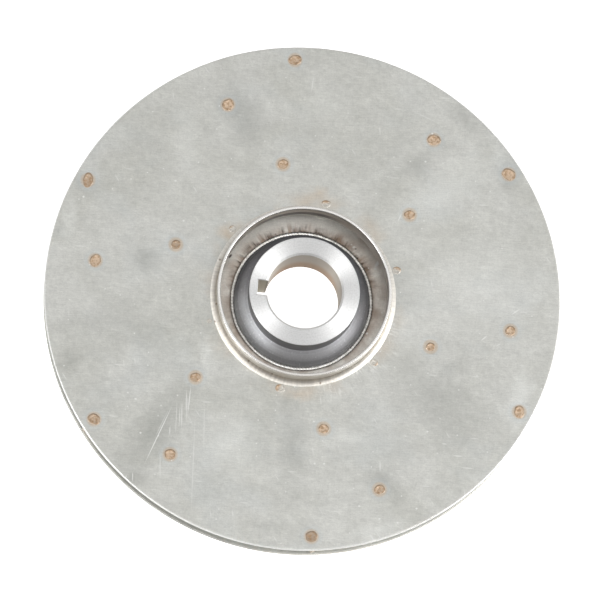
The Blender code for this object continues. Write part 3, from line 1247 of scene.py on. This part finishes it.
@dataclass
class Hub:
    """The turned hub: barrel, rounded shoulder and flange, with a keyed bore through it."""

    layout: Layout
    barrel_radius: float = 23.5 * MM
    shoulder_rise: float = 7.1 * MM
    shoulder_rounding: float = 10.0 * MM
    edge_break: float = 0.25 * MM
    flange_step: float = 0.4 * MM
    bore_radius: float = 15.875 * MM
    bore_chamfer: float = 0.9 * MM
    key_half_width: float = 3.175 * MM
    key_floor: float = 19.9 * MM
    key_break: float = 0.3 * MM
    fit: float = 0.1 * MM
    arc_columns: int = 341
    wall_columns: int = 8
    floor_columns: int = 12
    shoulder_rows: int = 25
    face_steps: int = 6

    @property
    def hole_radius(self) -> float:
        """Radius of the hole that the rear disc has for the hub."""
        return self.layout.hub_radius + self.fit

    def contour(self, grow_bore: float, grow_key: float) -> np.ndarray:
        """Return the keyed bore's outline, grown by a chamfer.

        The bore's arc runs from one wall of the keyway round to the other: its points are at
        s (pi - a), with s even from -1 to 1 and sin a = half the keyway's width / the radius. The
        keyway's wall, floor and other wall follow.

        Args:
            grow_bore: Added to the bore's radius.
            grow_key: Added to each side of the keyway.

        Returns:
            Points (columns, 2), anticlockwise from the keyway's lower corner.
        """
        radius = self.bore_radius + grow_bore
        half = self.key_half_width + grow_key
        floor = self.key_floor + grow_key
        angle = np.linspace(-1, 1, self.arc_columns) * (math.pi - math.asin(half / radius))
        mouth = -math.sqrt(radius**2 - half**2)
        inwards = np.linspace(mouth, -floor, self.wall_columns + 1)[1:]
        down = np.linspace(half, -half, self.floor_columns + 1)[1:]
        back = inwards[::-1][1:]
        x = np.concatenate([radius * np.cos(angle), inwards, np.full(down.size, -floor), back])
        y = np.concatenate(
            [radius * np.sin(angle), np.full(inwards.size, half), down, np.full(back.size, -half)]
        )
        return np.stack([x, y], -1)

    def outside(self) -> np.ndarray:
        """Return the turned outline, from the barrel's top down to the flange's foot.

        The shoulder is one arc that bulges outwards over the chord from the barrel to the flange.
        Its points turn evenly from m + h to m - h, where m is the chord's slope and
        sin h = half the chord / the arc's radius.

        Returns:
            Points (n, 2) of radius and height.
        """
        top, flange = self.layout.hub_top, self.layout.hub_radius
        start = self.layout.rear_face + self.flange_step + self.shoulder_rise
        width = flange - self.barrel_radius
        middle = math.atan2(width, self.shoulder_rise)
        half = math.asin(math.hypot(width, self.shoulder_rise) / 2 / self.shoulder_rounding)
        turn = np.linspace(middle + half, middle - half, self.shoulder_rows)
        radius = self.barrel_radius + self.shoulder_rounding * (np.cos(turn) - np.cos(turn[0]))
        height = start + self.shoulder_rounding * (np.sin(turn) - np.sin(turn[0]))
        corners = [
            (self.barrel_radius, top, self.edge_break),
            *np.column_stack([radius, height, np.zeros(turn.size)]).tolist(),
            (flange, 0, self.edge_break),
        ]
        shaft = [(0, 0, 0), (0, top, 0)]
        turned = rounded_outline(corners + shaft)[: -len(shaft)]
        longest = np.full(len(turned), ROW_STEP)
        longest[-1] = math.inf
        return refined(turned, longest)

    def surface(self) -> Surface:
        """Join the turned outside to the keyed bore.

        Every column has its own angle outside and its own point of the keyed outline inside, and
        the two flat faces are straight lines between them.

        Returns:
            The hub's skin, with a value that is 1 inside the bore.
        """
        top = self.layout.hub_top
        outline = self.outside()
        inner = self.contour(0, 0)
        key = np.arange(len(inner)) >= self.arc_columns
        reach = math.pi - math.asin(self.key_half_width / self.bore_radius)
        arc = np.linspace(-reach, reach, self.arc_columns)
        behind = np.linspace(arc[-1], arc[0] + math.tau, key.sum() + 2)[1:-1]
        angle = np.concatenate([arc, behind])
        radius, height = outline[:, :1], np.repeat(outline[:, 1:], angle.size, axis=1)
        outside = np.stack([radius * np.cos(angle), radius * np.sin(angle), height], -1)
        depth = np.where(key, self.key_break, self.bore_chamfer)
        mouth = self.contour(self.bore_chamfer, self.key_break)

        def level(points: np.ndarray, height: np.ndarray | float) -> np.ndarray:
            """Put a flat outline at a height."""
            return np.column_stack([points, np.broadcast_to(height, len(points))])

        bore = [level(mouth, top), level(inner, top - depth), level(inner, depth), level(mouth, 0.0)]
        share = np.linspace(0, 1, self.face_steps + 1)[1:-1, None, None]
        rear = outside[-1] * (1 - share) + bore[3] * share
        wall = bore[2] * (1 - share) + bore[1] * share
        face = bore[0] * (1 - share) + outside[0] * share
        rows = [outside, rear, bore[3][None], bore[2][None], wall, bore[1][None], bore[0][None], face]
        inside = [np.zeros(len(outside) + len(rear) + 1), np.ones(len(wall) + 2), np.zeros(len(face) + 1)]
        shade = np.repeat(np.concatenate(inside)[:, None], angle.size, axis=1)
        return Surface.ring(np.concatenate(rows), bore=shade)

    def build(self, finish: Material) -> None:
        """Make the hub and dress it."""
        put_piece("hub", self.surface(), finish, ["hub"])


@dataclass
class Collar:
    """The rolled collar that stands round the inlet eye, and the fillet weld at its foot."""

    layout: Layout
    wall: float = 1.2 * MM
    rim_rounding: float = 0.3 * MM
    sunk: float = 0.3 * MM
    out_of_round: float = 0.05 * MM
    rim_dip: float = 0.04 * MM
    least_dip: float = 1.7
    overlap: float = 0.2 * MM
    hollow: float = 0.25
    hollow_rounding: float = 0.9
    columns: int = 540

    @property
    def inner_radius(self) -> float:
        """Radius of the inlet eye."""
        return self.layout.collar_radius - self.wall

    def surface(self) -> Surface:
        """Revolve a strip with a softened rim, a little out of round.

        The rim dips by rim_dip times least_dip plus an uneven line, so it never stands higher than
        its nominal height.

        Returns:
            The collar's skin.
        """
        outer, top = self.layout.collar_radius, self.layout.collar_top
        foot = self.layout.front_face - self.sunk
        corners = [
            (outer, top, self.rim_rounding),
            (outer, foot, 0),
            (self.inner_radius, foot, 0),
            (self.inner_radius, top, self.rim_rounding),
        ]
        outline = rounded_outline(corners, steps=7)
        outline = refined(outline, np.full(len(outline), ROW_STEP))
        angle = np.arange(self.columns) * math.tau / self.columns
        grid = np.repeat(outline[:, None], self.columns, axis=1)
        height = (grid[..., 1] - foot) / (top - foot)
        grid[..., 0] += self.out_of_round * height * uneven(angle, 11, (2, 3, 5, 8, 13))
        grid[..., 1] -= self.rim_dip * height * (self.least_dip + uneven(angle, 12, (2, 5, 9, 17)))
        return Surface.ring(revolved(grid, self.columns))

    def fillet(self) -> Surface:
        """Revolve a hollow fillet, sunk a little into the collar's wall and the disc.

        Returns:
            The fillet's skin.
        """
        root, low = self.layout.collar_radius - self.overlap, self.layout.front_face
        leg = self.layout.fillet_radius - root
        corners = [
            (root, low + leg, 0),
            (root + self.hollow * leg, low + self.hollow * leg, self.hollow_rounding * leg),
            (root + leg, low, 0),
            (root + leg, low - self.sunk, 0),
            (root, low - self.sunk, 0),
        ]
        return Surface.ring(revolved(rounded_outline(corners, steps=10), self.columns))

    def build(self, strip: Material, weld: Material) -> None:
        """Make the collar and its fillet weld, and dress them."""
        put_piece("inlet_collar", self.surface(), strip, ["inlet_collar"])
        put_piece("collar_weld", self.fillet(), weld, ["collar_weld"])


@dataclass
class HubBead:
    """A ring of rippled weld beside the hub's flange, on one face of the rear disc."""

    layout: Layout
    face: Face
    width: float = 1.6 * MM
    rise: float = 0.34 * MM
    inset: float = 0.5 * MM
    wander: float = 0.08 * MM
    ripples: int = 140
    ripple_depth: float = 0.35
    bow: float = 0.9
    sharpness: float = 0.7
    narrowing: float = 0.15
    buried: float = 0.5
    steps: int = 8
    rows: int = 20

    def surface(self) -> Surface:
        """Revolve a flat oval whose crest falls between the ripples.

        With n ripples, the height at angle a and share d across the bead is scaled by
        1 - ripple depth (1 - |sin(n a / 2 + bow d^2)|^sharpness), so each ripple is a crescent. The
        bead narrows a little with it, and reaches half as far below the disc's face.

        Returns:
            The bead's skin, with a value that is 1 on a ripple's crest and under 0 below the face.
        """
        seat = self.layout.rear_face if self.face is Face.INLET else self.layout.rear_back
        middle = self.layout.bead_radius - self.inset
        turn = np.linspace(0, math.tau, self.rows, endpoint=False)[:, None]
        columns = self.ripples * self.steps
        angle = np.arange(columns) * math.tau / columns
        wander = self.wander * uneven(angle, 5, (3, 7, 12, 23))
        bowed = self.ripples * angle / 2 + self.bow * np.cos(turn) ** 2
        ripple = np.abs(np.sin(bowed)) ** self.sharpness
        scale = 1 - self.ripple_depth * (1 - ripple)
        across = self.width / 2 * np.cos(turn) * (1 - self.narrowing * (1 - scale))
        stand = self.rise * np.sin(turn) * np.where(np.sin(turn) > 0, scale, self.buried)
        section = np.stack([middle + wander + across, seat + self.face.value * stand], -1)
        return Surface.ring(revolved(section, columns), crest=ripple * np.sin(turn))

    def build(self, finish: Material) -> None:
        """Make the bead and dress it."""
        name = "hub_front_weld" if self.face is Face.INLET else "hub_rear_weld"
        put_piece(name, self.surface(), finish, [name])


@dataclass
class Blade:
    """One folded blade: a channel swept along a spiral of constant blade angle."""

    layout: Layout
    number: int
    sheet: float = 1.2 * MM
    flange: float = 8.0 * MM
    bend_radius: float = 1.8 * MM
    gap: float = 0.05 * MM
    angle: float = math.radians(27.0)
    inner_radius: float = 39.5 * MM
    outer_radius: float = 106.2 * MM
    clear_radius: float = 37.6 * MM
    stations: int = 120
    bend_steps: int = 10

    def section(self) -> np.ndarray:
        """Return the folded strip's section: across the blade, and up from its middle.

        The outer side goes along one flange, round the bend, down the web and back along the other
        flange, and the inner side returns a sheet's thickness inside it.

        Returns:
            Points (2 n, 2), as Surface.folded_bar takes them.
        """
        high = (self.layout.front_under - self.layout.rear_face) / 2 - self.gap
        half = self.flange / 2
        turn = np.linspace(0, math.pi / 2, self.bend_steps + 1)
        bend = np.stack([np.sin(turn), np.cos(turn)], -1)
        centre = np.array((half - self.bend_radius, high - self.bend_radius))
        sides = []
        for radius, level in ((self.bend_radius, high), (self.bend_radius - self.sheet, high - self.sheet)):
            upper = np.concatenate([[(-half, level)], centre + radius * bend])
            sides.append(np.concatenate([upper, upper[::-1] * (1, -1)]))
        return np.concatenate([sides[0], sides[1][::-1]])

    def surface(self) -> Surface:
        """Sweep the section along the spiral.

        At radius r the spiral's angle is a0 - ln(r / r0) / tan(blade angle), through the second
        spot weld, and radii grow by equal ratios. Across the blade is square to the path. The
        flanges' corners are ground back to the clear radius: points nearer the shaft move out to it.

        Returns:
            The blade's skin.
        """
        x0, y0 = self.layout.spots[self.number - 1, 1]
        radius = np.geomspace(self.inner_radius, self.outer_radius, self.stations)
        angle = math.atan2(y0, x0) - np.log(radius / math.hypot(x0, y0)) / math.tan(self.angle)
        path = np.stack([radius * np.cos(angle), radius * np.sin(angle)], -1)
        heading = angle - math.pi / 2 + self.angle
        across = np.stack([np.sin(heading), -np.cos(heading)], -1)
        outward = np.sign(np.sum(across * path, axis=1, keepdims=True))
        section = self.section()
        middle = (self.layout.front_under + self.layout.rear_face) / 2
        flat = path[:, None] + section[None, :, :1] * (across * outward)[:, None]
        flat *= np.maximum(1.0, self.clear_radius / np.linalg.norm(flat, axis=-1, keepdims=True))
        up = np.broadcast_to(middle + section[None, :, 1:], (*flat.shape[:2], 1))
        return Surface.folded_bar(np.concatenate([flat, up], -1))

    def build(self, finish: Material) -> None:
        """Make the blade and dress it."""
        name = f"blade_{self.number}"
        put_piece(name, self.surface(), finish, [name])


@dataclass(frozen=True)
class Nugget:
    """The mark that one spot weld leaves.

    Its size is in mm and its turn in degrees. Glow is how bright it is from 0 to 1, and bare, where
    given, is the direction in degrees of the side that was ground bright. Ground is how much of it
    that was, from 0 for none to 2 for all.
    """

    length: float = 5.0
    width: float = 4.8
    turn: float = 0.0
    glow: float = 0.5
    bare: float | None = None
    ground: float = 0.72


# The front disc's spot welds by blade and place.
NUGGETS = {
    (1, 1): Nugget(4.4, 3.6, 0, 0.6, bare=-80),
    (2, 1): Nugget(3.4, 3.2, 0, 0.7, bare=-50, ground=1.1),
    (3, 1): Nugget(2.4, 2.2, 0, 0.9, bare=0, ground=2.0),
    (4, 1): Nugget(4.4, 3.8, 0, 0.9, bare=-20),
    (5, 1): Nugget(3.6, 3.2, 0, 0.9, bare=150, ground=1.1),
    (6, 1): Nugget(4.0, 3.6, 0, 0.6, bare=-110),
    (1, 2): Nugget(5.1, 4.3, 0, 0.8),
    (1, 3): Nugget(4.8, 4.6, 0, 1.0),
    (1, 4): Nugget(6.0, 4.7, 90, 0.9),
    (2, 2): Nugget(5.1, 4.7, 20, 0.8),
    (2, 3): Nugget(6.4, 5.0, 0, 1.0),
    (2, 4): Nugget(6.6, 5.4, -25, 1.0),
    (3, 2): Nugget(4.6, 4.3, 90, 0.3),
    (3, 3): Nugget(6.0, 5.2, 60, 1.0),
    (3, 4): Nugget(6.4, 4.7, 15, 0.7),
    (4, 2): Nugget(5.1, 4.3, 0, 0.6),
    (4, 3): Nugget(6.2, 5.0, 75, 0.9),
    (4, 4): Nugget(7.0, 4.7, 88, 0.5),
    (5, 2): Nugget(4.8, 4.5, 0, 0.85),
    (5, 3): Nugget(5.2, 4.9, 0, 0.85),
    (5, 4): Nugget(5.9, 5.0, -20, 0.5),
    (6, 2): Nugget(4.1, 4.0, 0, 0.9),
    (6, 3): Nugget(5.1, 4.4, 30, 0.6),
    (6, 4): Nugget(5.5, 5.2, 0, 0.1),
}


@dataclass
class SpotWelds:
    """The spot welds on one face of one disc."""

    layout: Layout
    disc: Disc
    face: Face
    rise: float = 0.09 * MM
    lip: float = 0.72
    lip_width: float = 0.2
    crown: float = 0.04 * MM
    dimple: float = 0.02 * MM
    smooth_middle: float = 0.2
    uneven_edge: float = 0.05
    depth: float = 0.5 * MM
    rows: tuple[float, ...] = (0, 0.1, 0.2, 0.32, 0.44, 0.56, 0.66, 0.74, 0.82, 0.9, 1.0)
    columns: int = 48

    def weld(self, blade: int, place: int, nugget: Nugget) -> Surface:
        """Make one weld's skin: a shallow dish with an uneven oval edge, closed inside the sheet.

        At a share s of the way out the surface stands rise exp(-((s - lip) / lip width)^2) above a
        floor that falls from the crown's height to as much under the sheet at the edge.

        Args:
            blade: Blade number, from 1.
            place: The weld's number along the blade, from 1 at the eye.
            nugget: The weld's size and look.

        Returns:
            The weld's skin, with its share outwards, its glow and how far it is ground.
        """
        x0, y0 = self.layout.spots[blade - 1, place - 1]
        angle = np.arange(self.columns) * math.tau / self.columns
        turned = angle - math.radians(nugget.turn)
        half, narrow = nugget.length / 2 * MM, nugget.width / 2 * MM
        oval = half * narrow / np.hypot(narrow * np.cos(turned), half * np.sin(turned))
        oval = oval * (1 + self.uneven_edge * uneven(angle, 10 * blade + place, (2, 3, 4, 5, 7)))
        share = np.array(self.rows)
        lip = np.exp(-(((share - self.lip) / self.lip_width) ** 2))
        stand = self.rise * lip + self.crown * (1 - 2 * share**6)
        share = np.append(share, (1.0, 0.0))[:, None]
        stand = np.append(stand, (-self.depth, -self.depth))[:, None]
        x = x0 + share * oval * np.cos(angle)
        y = y0 + share * oval * np.sin(angle)
        dimples = self.dimple * uneven(angle + 3 * share, 40 + 10 * blade + place, (2, 3, 5))
        dimples = dimples * (share > self.smooth_middle)
        seat = self.disc.top if self.face is Face.INLET else self.disc.bottom
        lift = self.disc.lift(x, y)
        height = seat + lift + self.face.value * (stand + np.where(stand > 0, dimples, 0))
        grid = np.stack([x, y, np.broadcast_to(height, x.shape)], -1)
        ring = np.broadcast_to(share, x.shape)
        ground = np.zeros(x.shape)
        if nugget.bare is not None:
            ground = nugget.ground + share * np.cos(angle - math.radians(nugget.bare))
        return Surface.lens(grid, ring=ring, glow=np.full(x.shape, nugget.glow), dressed=ground)

    def build_front(self, finish: Material) -> None:
        """Make one piece for each blade's welds in place of its packed nuggets."""
        for blade in range(1, BLADES + 1):
            places = range(1, SPOTS_A_BLADE + 1)
            welds = [self.weld(blade, p, NUGGETS[blade, p]) for p in places]
            nodes = [f"spot_weld_{blade}_{p}" for p in places]
            put_piece(f"spot_welds_blade_{blade}", Surface.joined(welds), finish, nodes)

    def build_back(self, finish: Material) -> None:
        """Make the rear disc's welds as one piece, their sizes and turns a little different."""
        welds = [
            self.weld(blade, place, Nugget(5.0 + 0.3 * math.sin(7 * blade + place), 4.8, 40 * blade))
            for blade in range(1, BLADES + 1)
            for place in range(1, SPOTS_A_BLADE + 1)
        ]
        put_piece("rear_spot_welds", Surface.joined(welds), finish)


@dataclass(frozen=True)
class Viewpoint:
    """The camera: where it stands round the object, in degrees and metres, and its lens in mm."""

    azimuth: float = -12.78
    elevation: float = 75.88
    roll: float = 17.77
    distance: float = 2222 * MM
    target: tuple[float, float, float] = (-1.2 * MM, -2.0 * MM, 14.3 * MM)
    lens: float = 313.85
    sensor: float = 36.0
    clip: tuple[float, float] = (0.05, 50.0)

    def build(self) -> None:
        """Make the camera and give it to the scene.

        The view direction's back is (sin a cos e, -cos a cos e, sin e). Its upright side vectors
        are then turned together by the roll.
        """
        a, e, r = (math.radians(v) for v in (self.azimuth, self.elevation, self.roll))
        back = Vector((math.sin(a) * math.cos(e), -math.cos(a) * math.cos(e), math.sin(e)))
        side = Vector((math.cos(a), math.sin(a), 0.0))
        rise = back.cross(side)
        right = side * math.cos(r) + rise * math.sin(r)
        up = rise * math.cos(r) - side * math.sin(r)
        lens = bpy.data.cameras.new("camera")
        lens.lens = self.lens
        lens.sensor_width = self.sensor
        lens.clip_start, lens.clip_end = self.clip
        camera = bpy.data.objects.new("camera", lens)
        turn = Matrix((right, up, back)).transposed().to_4x4()
        camera.matrix_world = Matrix.Translation(Vector(self.target) + back * self.distance) @ turn
        bpy.context.scene.collection.objects.link(camera)
        bpy.context.scene.camera = camera


@dataclass(frozen=True)
class Softbox:
    """A soft light on the tent: its direction in degrees, its half widths in degrees, its level."""

    turn: float
    elevation: float
    full: float
    gone: float
    level: float

    @property
    def way(self) -> tuple[float, float, float]:
        """Unit vector towards the light."""
        turn, rise = math.radians(self.turn), math.radians(self.elevation)
        return (math.cos(rise) * math.cos(turn), math.cos(rise) * math.sin(turn), math.sin(rise))


@dataclass(frozen=True)
class Studio:
    """A pale table under a light tent, with two tall softboxes and a low light at the right.

    Tent levels are the radiance overhead, low in front and low behind. The low level goes from one
    to the other as a direction's part along Y goes through turning either way, and gives place to
    the overhead one as its part upwards goes through dome.
    """

    floor_half: float = 4.0
    floor_drop: float = 0.05 * MM
    floor_colour: str = "e6e6e4"
    floor_roughness: float = 0.6
    floor_glow: float = 0.45
    backdrop_glow: float = 0.9
    zenith: float = 0.86
    front: float = 0.32
    behind: float = 0.5
    turning: float = 0.6
    dome: tuple[float, float] = (0.65, 0.97)
    boxes: tuple[Softbox, ...] = (
        Softbox(turn=347, elevation=60, full=3, gone=15, level=5.0),
        Softbox(turn=347, elevation=37, full=3, gone=15, level=4.6),
        Softbox(turn=209, elevation=58, full=3, gone=15, level=4.6),
        Softbox(turn=209, elevation=35, full=3, gone=15, level=4.4),
        Softbox(turn=0, elevation=16, full=8, gone=30, level=1.0),
    )

    def build(self) -> None:
        """Make the floor and the light."""
        self.floor()
        self.surroundings()
        bpy.context.scene.view_settings.view_transform = "Standard"

    def floor(self) -> None:
        """Lay the table, a white sheet lit through from below and clear from its underside.

        Seen directly it is brighter than where metal reflects it, as a backdrop overexposed in the
        photograph is.
        """
        half, drop = self.floor_half, -self.floor_drop
        mesh = bpy.data.meshes.new("floor")
        corners = [(-half, -half, drop), (half, -half, drop), (half, half, drop), (-half, half, drop)]
        mesh.from_pydata(corners, [], [(0, 1, 2, 3)])
        material = bpy.data.materials.new("lit_white_acrylic_table")
        material.use_nodes = True
        tree = material.node_tree
        shader = tree.nodes["Principled BSDF"]
        shader.inputs["Base Color"].default_value = linear(self.floor_colour)
        shader.inputs["Roughness"].default_value = self.floor_roughness
        shader.inputs["Emission Color"].default_value = WHITE
        direct = add_node(tree, "LightPath").outputs["Is Camera Ray"]
        levels = {"Value": direct, "To Min": self.floor_glow, "To Max": self.backdrop_glow}
        glow = add_node(tree, "MapRange", levels).outputs[0]
        tree.links.new(glow, shader.inputs["Emission Strength"])
        clear = add_node(tree, "BsdfTransparent")
        side = add_node(tree, "NewGeometry").outputs["Backfacing"]
        seen = add_node(tree, "MixShader", {0: side, 1: shader.outputs[0], 2: clear.outputs[0]})
        tree.links.new(seen.outputs[0], tree.nodes["Material Output"].inputs["Surface"])
        mesh.materials.append(material)
        table = bpy.data.objects.new("floor", mesh)
        bpy.context.scene.collection.objects.link(table)

    def surroundings(self) -> None:
        """Light the scene from the tent, which shows as plain white behind the object."""
        world = bpy.data.worlds.new("light_tent")
        bpy.context.scene.world = world
        world.use_nodes = True
        tree = world.node_tree
        way = add_node(tree, "TexCoord").outputs["Generated"]
        parts = add_node(tree, "SeparateXYZ", {0: way}).outputs
        round_about = {
            "Value": parts[1],
            "From Min": -self.turning,
            "From Max": self.turning,
            "To Min": self.front,
            "To Max": self.behind,
        }
        low = add_node(tree, "MapRange", round_about, interpolation_type="SMOOTHSTEP").outputs[0]
        overhead = {"Value": parts[2], "From Min": self.dome[0], "From Max": self.dome[1]}
        high = add_node(tree, "MapRange", overhead).outputs[0]
        total = add_node(tree, "Mix", {0: high, 2: low, 3: self.zenith}).outputs[0]
        for box in self.boxes:
            facing = add_node(tree, "VectorMath", {0: way, 1: box.way}, operation="DOT_PRODUCT")
            limit = {
                "Value": facing.outputs["Value"],
                "From Min": math.cos(math.radians(box.gone)),
                "From Max": math.cos(math.radians(box.full)),
                "To Max": box.level,
            }
            lobe = add_node(tree, "MapRange", limit, interpolation_type="SMOOTHSTEP").outputs[0]
            total = add_node(tree, "Math", {0: total, 1: lobe}, operation="ADD").outputs[0]
        background = tree.nodes["Background"]
        tree.links.new(total, background.inputs["Strength"])
        background.inputs["Color"].default_value = WHITE
        pale = add_node(tree, "Background", {"Color": WHITE, "Strength": 1.0})
        seen = add_node(tree, "LightPath").outputs["Is Camera Ray"]
        mixed = add_node(tree, "MixShader", {0: seen, 1: background.outputs[0], 2: pale.outputs[0]})
        tree.links.new(mixed.outputs[0], tree.nodes["World Output"].inputs["Surface"])


# Marks on the front disc: middle, half length and half width in mm, turn in degrees, strength.
# The dark patches and pale places are partly handling marks and partly painted reflection of the light's
# broad bands.
SMUDGES_AND_SHADE = (
    Mark(-35, 80, 13, 9, -60, 0.8),
    Mark(-30, 75, 15, 11, -70, 0.7),
    Mark(-67, 9, 8, 7, 0, 0.6),
    Mark(-77, -20, 29, 12, 5, 0.35),
    Mark(-58, -64, 31, 11, 60, 0.75),
    Mark(-96, -38, 9, 7, 95, 0.5),
    Mark(61, -41, 34, 18, -35, 0.55),
    Mark(1, -67, 27, 8, 95, 0.55),
    Mark(40, -78, 12, 7, -40, 0.7),
    Mark(-3, -47, 6, 4, 0, 0.7),
    Mark(64, 84, 12, 6, -35, 0.5),
    Mark(42, 61, 20, 5.5, 40, 0.45),
    Mark(84, 61, 7, 6, 0, 0.6),
    Mark(-97, 40, 6, 6, 0, 0.5),
    Mark(-7, -100, 10, 3.5, 0, 0.4),
    Mark(67, -26, 7, 6, 0, 0.4),
    Mark(-65, -86, 8, 5, 60, 0.7),
)
PALE_PLACES = (
    Mark(75, 11, 36, 27, 0, 0.45),
    Mark(57, 51, 37, 12, 42, 0.5),
    Mark(-55, 63, 18, 8, 95, 0.35),
    Mark(-102, 25, 9, 5, 95, 0.5),
    Mark(-26, -67, 21, 16, 95, 0.5),
    Mark(95, -37, 16, 6, 80, 0.8),
    Mark(21, -60, 12, 7, 0, 0.45),
    Mark(45, -11, 9, 9, 0, 0.5),
    Mark(38, -99, 16, 4, 20, 0.5),
    Mark(89, -70, 11, 4, 55, 0.7),
    Mark(3, 84, 16, 13, 0, 0.3),
    Mark(-39, -28, 10, 4, 100, 0.5),
)
WARM_PLACES = (
    Mark(-32.9, 24.5, 8.0, 6.0, 0, 1.0),
    Mark(2.7, 44.5, 7.0, 4.0, 0, 0.8),
    Mark(2.1, -42.5, 7.0, 4.0, 0, 0.8),
)
# Scratches by their ends and width in mm and their strength, then bright specks.
SCRATCHES = (
    Mark.line((-51.0, -51.6), (-61.4, -80.1), 0.6, 1.0),
    Mark.line((-52.6, -54.0), (-58.0, -68.5), 0.5, 0.5),
    Mark.line((-49.6, -50.2), (-49.0, -66.0), 0.5, 0.6),
    Mark.line((-45.3, -46.4), (-45.0, -60.0), 0.5, 0.6),
    Mark.line((-38.0, -50.2), (-36.5, -72.0), 0.5, 0.5),
    Mark.line((-44.3, -42.7), (-44.6, -57.0), 0.6, 0.9),
    Mark.line((-46.0, -45.0), (-45.4, -55.8), 0.55, 0.8),
    Mark.line((-47.5, -50.4), (-46.6, -63.3), 0.6, 0.8),
    Mark.line((-48.2, -52.2), (-47.6, -61.7), 0.55, 0.7),
    Mark.line((-41.5, -55.4), (-39.6, -98.9), 0.6, 0.5),
    Mark.line((-54.9, -72.7), (-53.8, -85.6), 0.6, 0.6),
    Mark.line((-51.6, -61.2), (-51.5, -65.9), 0.6, 0.8),
    Mark.line((-65.7, -82.4), (-65.3, -87.5), 0.6, 0.8),
    Mark.line((-68.1, -84.3), (-68.4, -86.1), 0.6, 0.8),
    Mark.line((92.9, 3.3), (89.0, 0.1), 0.75, 1.0),
    Mark.line((79.6, -9.8), (76.8, -12.5), 0.75, 1.0),
    Mark.line((85.6, -12.8), (83.5, -14.1), 0.6, 0.8),
    Mark.line((-2.9, 98.2), (-3.6, 89.0), 0.55, 0.6),
    Mark.line((38.0, -68.3), (38.4, -73.4), 0.6, 0.8),
    Mark.line((39.1, 40.0), (37.7, 35.9), 0.6, 0.8),
    Mark.line((40.4, 86.0), (52.9, 81.0), 0.6, 0.4),
    Mark.line((68.5, -63.2), (73.1, -63.2), 0.55, 0.8),
    Mark.line((72.2, -68.1), (78.2, -67.9), 0.55, 0.8),
    Mark.line((63.4, -58.5), (66.0, -58.5), 0.55, 0.8),
    Mark(10.5, -72.2, 0.6, 0.5),
    Mark(14.5, -71.8, 0.6, 0.5),
    Mark(30.7, -88.6, 0.7, 0.5),
    Mark(8.8, -54.1, 0.6, 0.5),
    Mark(-58.3, 45.0, 0.7, 0.5),
    Mark(-96.7, 34.2, 0.6, 0.6),
    Mark(-53.4, 27.8, 0.6, 0.5),
    Mark(49.7, 76.6, 0.6, 0.5),
    Mark(47.7, 63.9, 0.6, 0.5),
    Mark(-67.1, -51.4, 0.7, 0.5),
    Mark(-63.8, -65.8, 0.6, 0.5),
    Mark(57.1, -53.9, 0.6, 0.5),
    Mark(39.6, -93.2, 0.6, 0.5),
    Mark(54.9, -87.4, 0.6, 0.5),
    Mark(47.4, -94.2, 0.6, 0.5),
)
# Marks on the rear disc inside the eye.
SPATTER = (
    Mark(31.3, 19.8, 2.6, 0.9, 62, 1.0),
    Mark(30.4, 17.2, 0.9, 0.6, 20, 0.9),
    Mark(20.5, 25.8, 0.9, 0.6, 30, 0.9),
    Mark(19.5, 26.8, 0.5, 0.4, 0, 0.8),
    Mark(29.0, -11.5, 0.7, 0.5, 40, 1.0),
    Mark(-26.2, -19.8, 0.6, 0.4, 0, 0.7),
)
NICKS = (
    Mark(-32.1, 16.7, 1.4, 0.7, 50),
    Mark(21.4, 25.0, 0.5, 0.4, 0),
)


def main() -> None:
    """Build and dress the impeller from the rear disc to the spot welds, then light it."""
    logging.basicConfig(level=logging.INFO, format="%(message)s")
    layout = Layout.from_frame()
    inlet_sheet = InletSheet(
        "cold_rolled_stainless_dressed",
        "d1d1cc",
        0.38,
        smudges_and_shade=SMUDGES_AND_SHADE,
        pale_places=PALE_PLACES,
        warm_places=WARM_PLACES,
        scratches=SCRATCHES,
    ).build()
    rear_sheet = RearSheet(
        "cold_rolled_stainless_heat_tinted", "cccbc5", 0.52, scratches=SPATTER, nicks=NICKS
    ).build()
    blade_sheet = ColdRolledSheet("cold_rolled_stainless_folded", "c8c8c2", 0.38).build()
    turned = TurnedSteel("turned_stainless_bar", "f8f8f7", 0.48).build()
    strip = RolledStrip("rolled_stainless_strip", "dedbd6", 0.42).build()
    fillet = GroundFillet("ground_weld_fillet", "ece8e0", 0.42).build()
    bead = ArcWeld("arc_weld_bead", "faf8f2", 0.28).build()
    spot = ResistanceSpot("resistance_spot_weld", "ac9a88", 0.45).build()
    collar, hub = Collar(layout), Hub(layout)
    rear_sides = (layout.rear_back, layout.rear_face)
    front_sides = (layout.front_under, layout.front_face)
    rear = Disc(layout, "rear_shroud", hub.hole_radius, *rear_sides, Face.BACK)
    front = Disc(layout, "front_shroud", collar.inner_radius, *front_sides, Face.INLET)
    rear.build(rear_sheet)
    front.build(inlet_sheet)
    hub.build(turned)
    collar.build(strip, fillet)
    for face in Face:
        HubBead(layout, face).build(bead)
    for number in range(1, BLADES + 1):
        Blade(layout, number).build(blade_sheet)
    SpotWelds(layout, front, Face.INLET).build_front(spot)
    SpotWelds(layout, rear, Face.BACK).build_back(spot)
    Viewpoint().build()
    Studio().build()


if __name__ == "__main__":
    main()
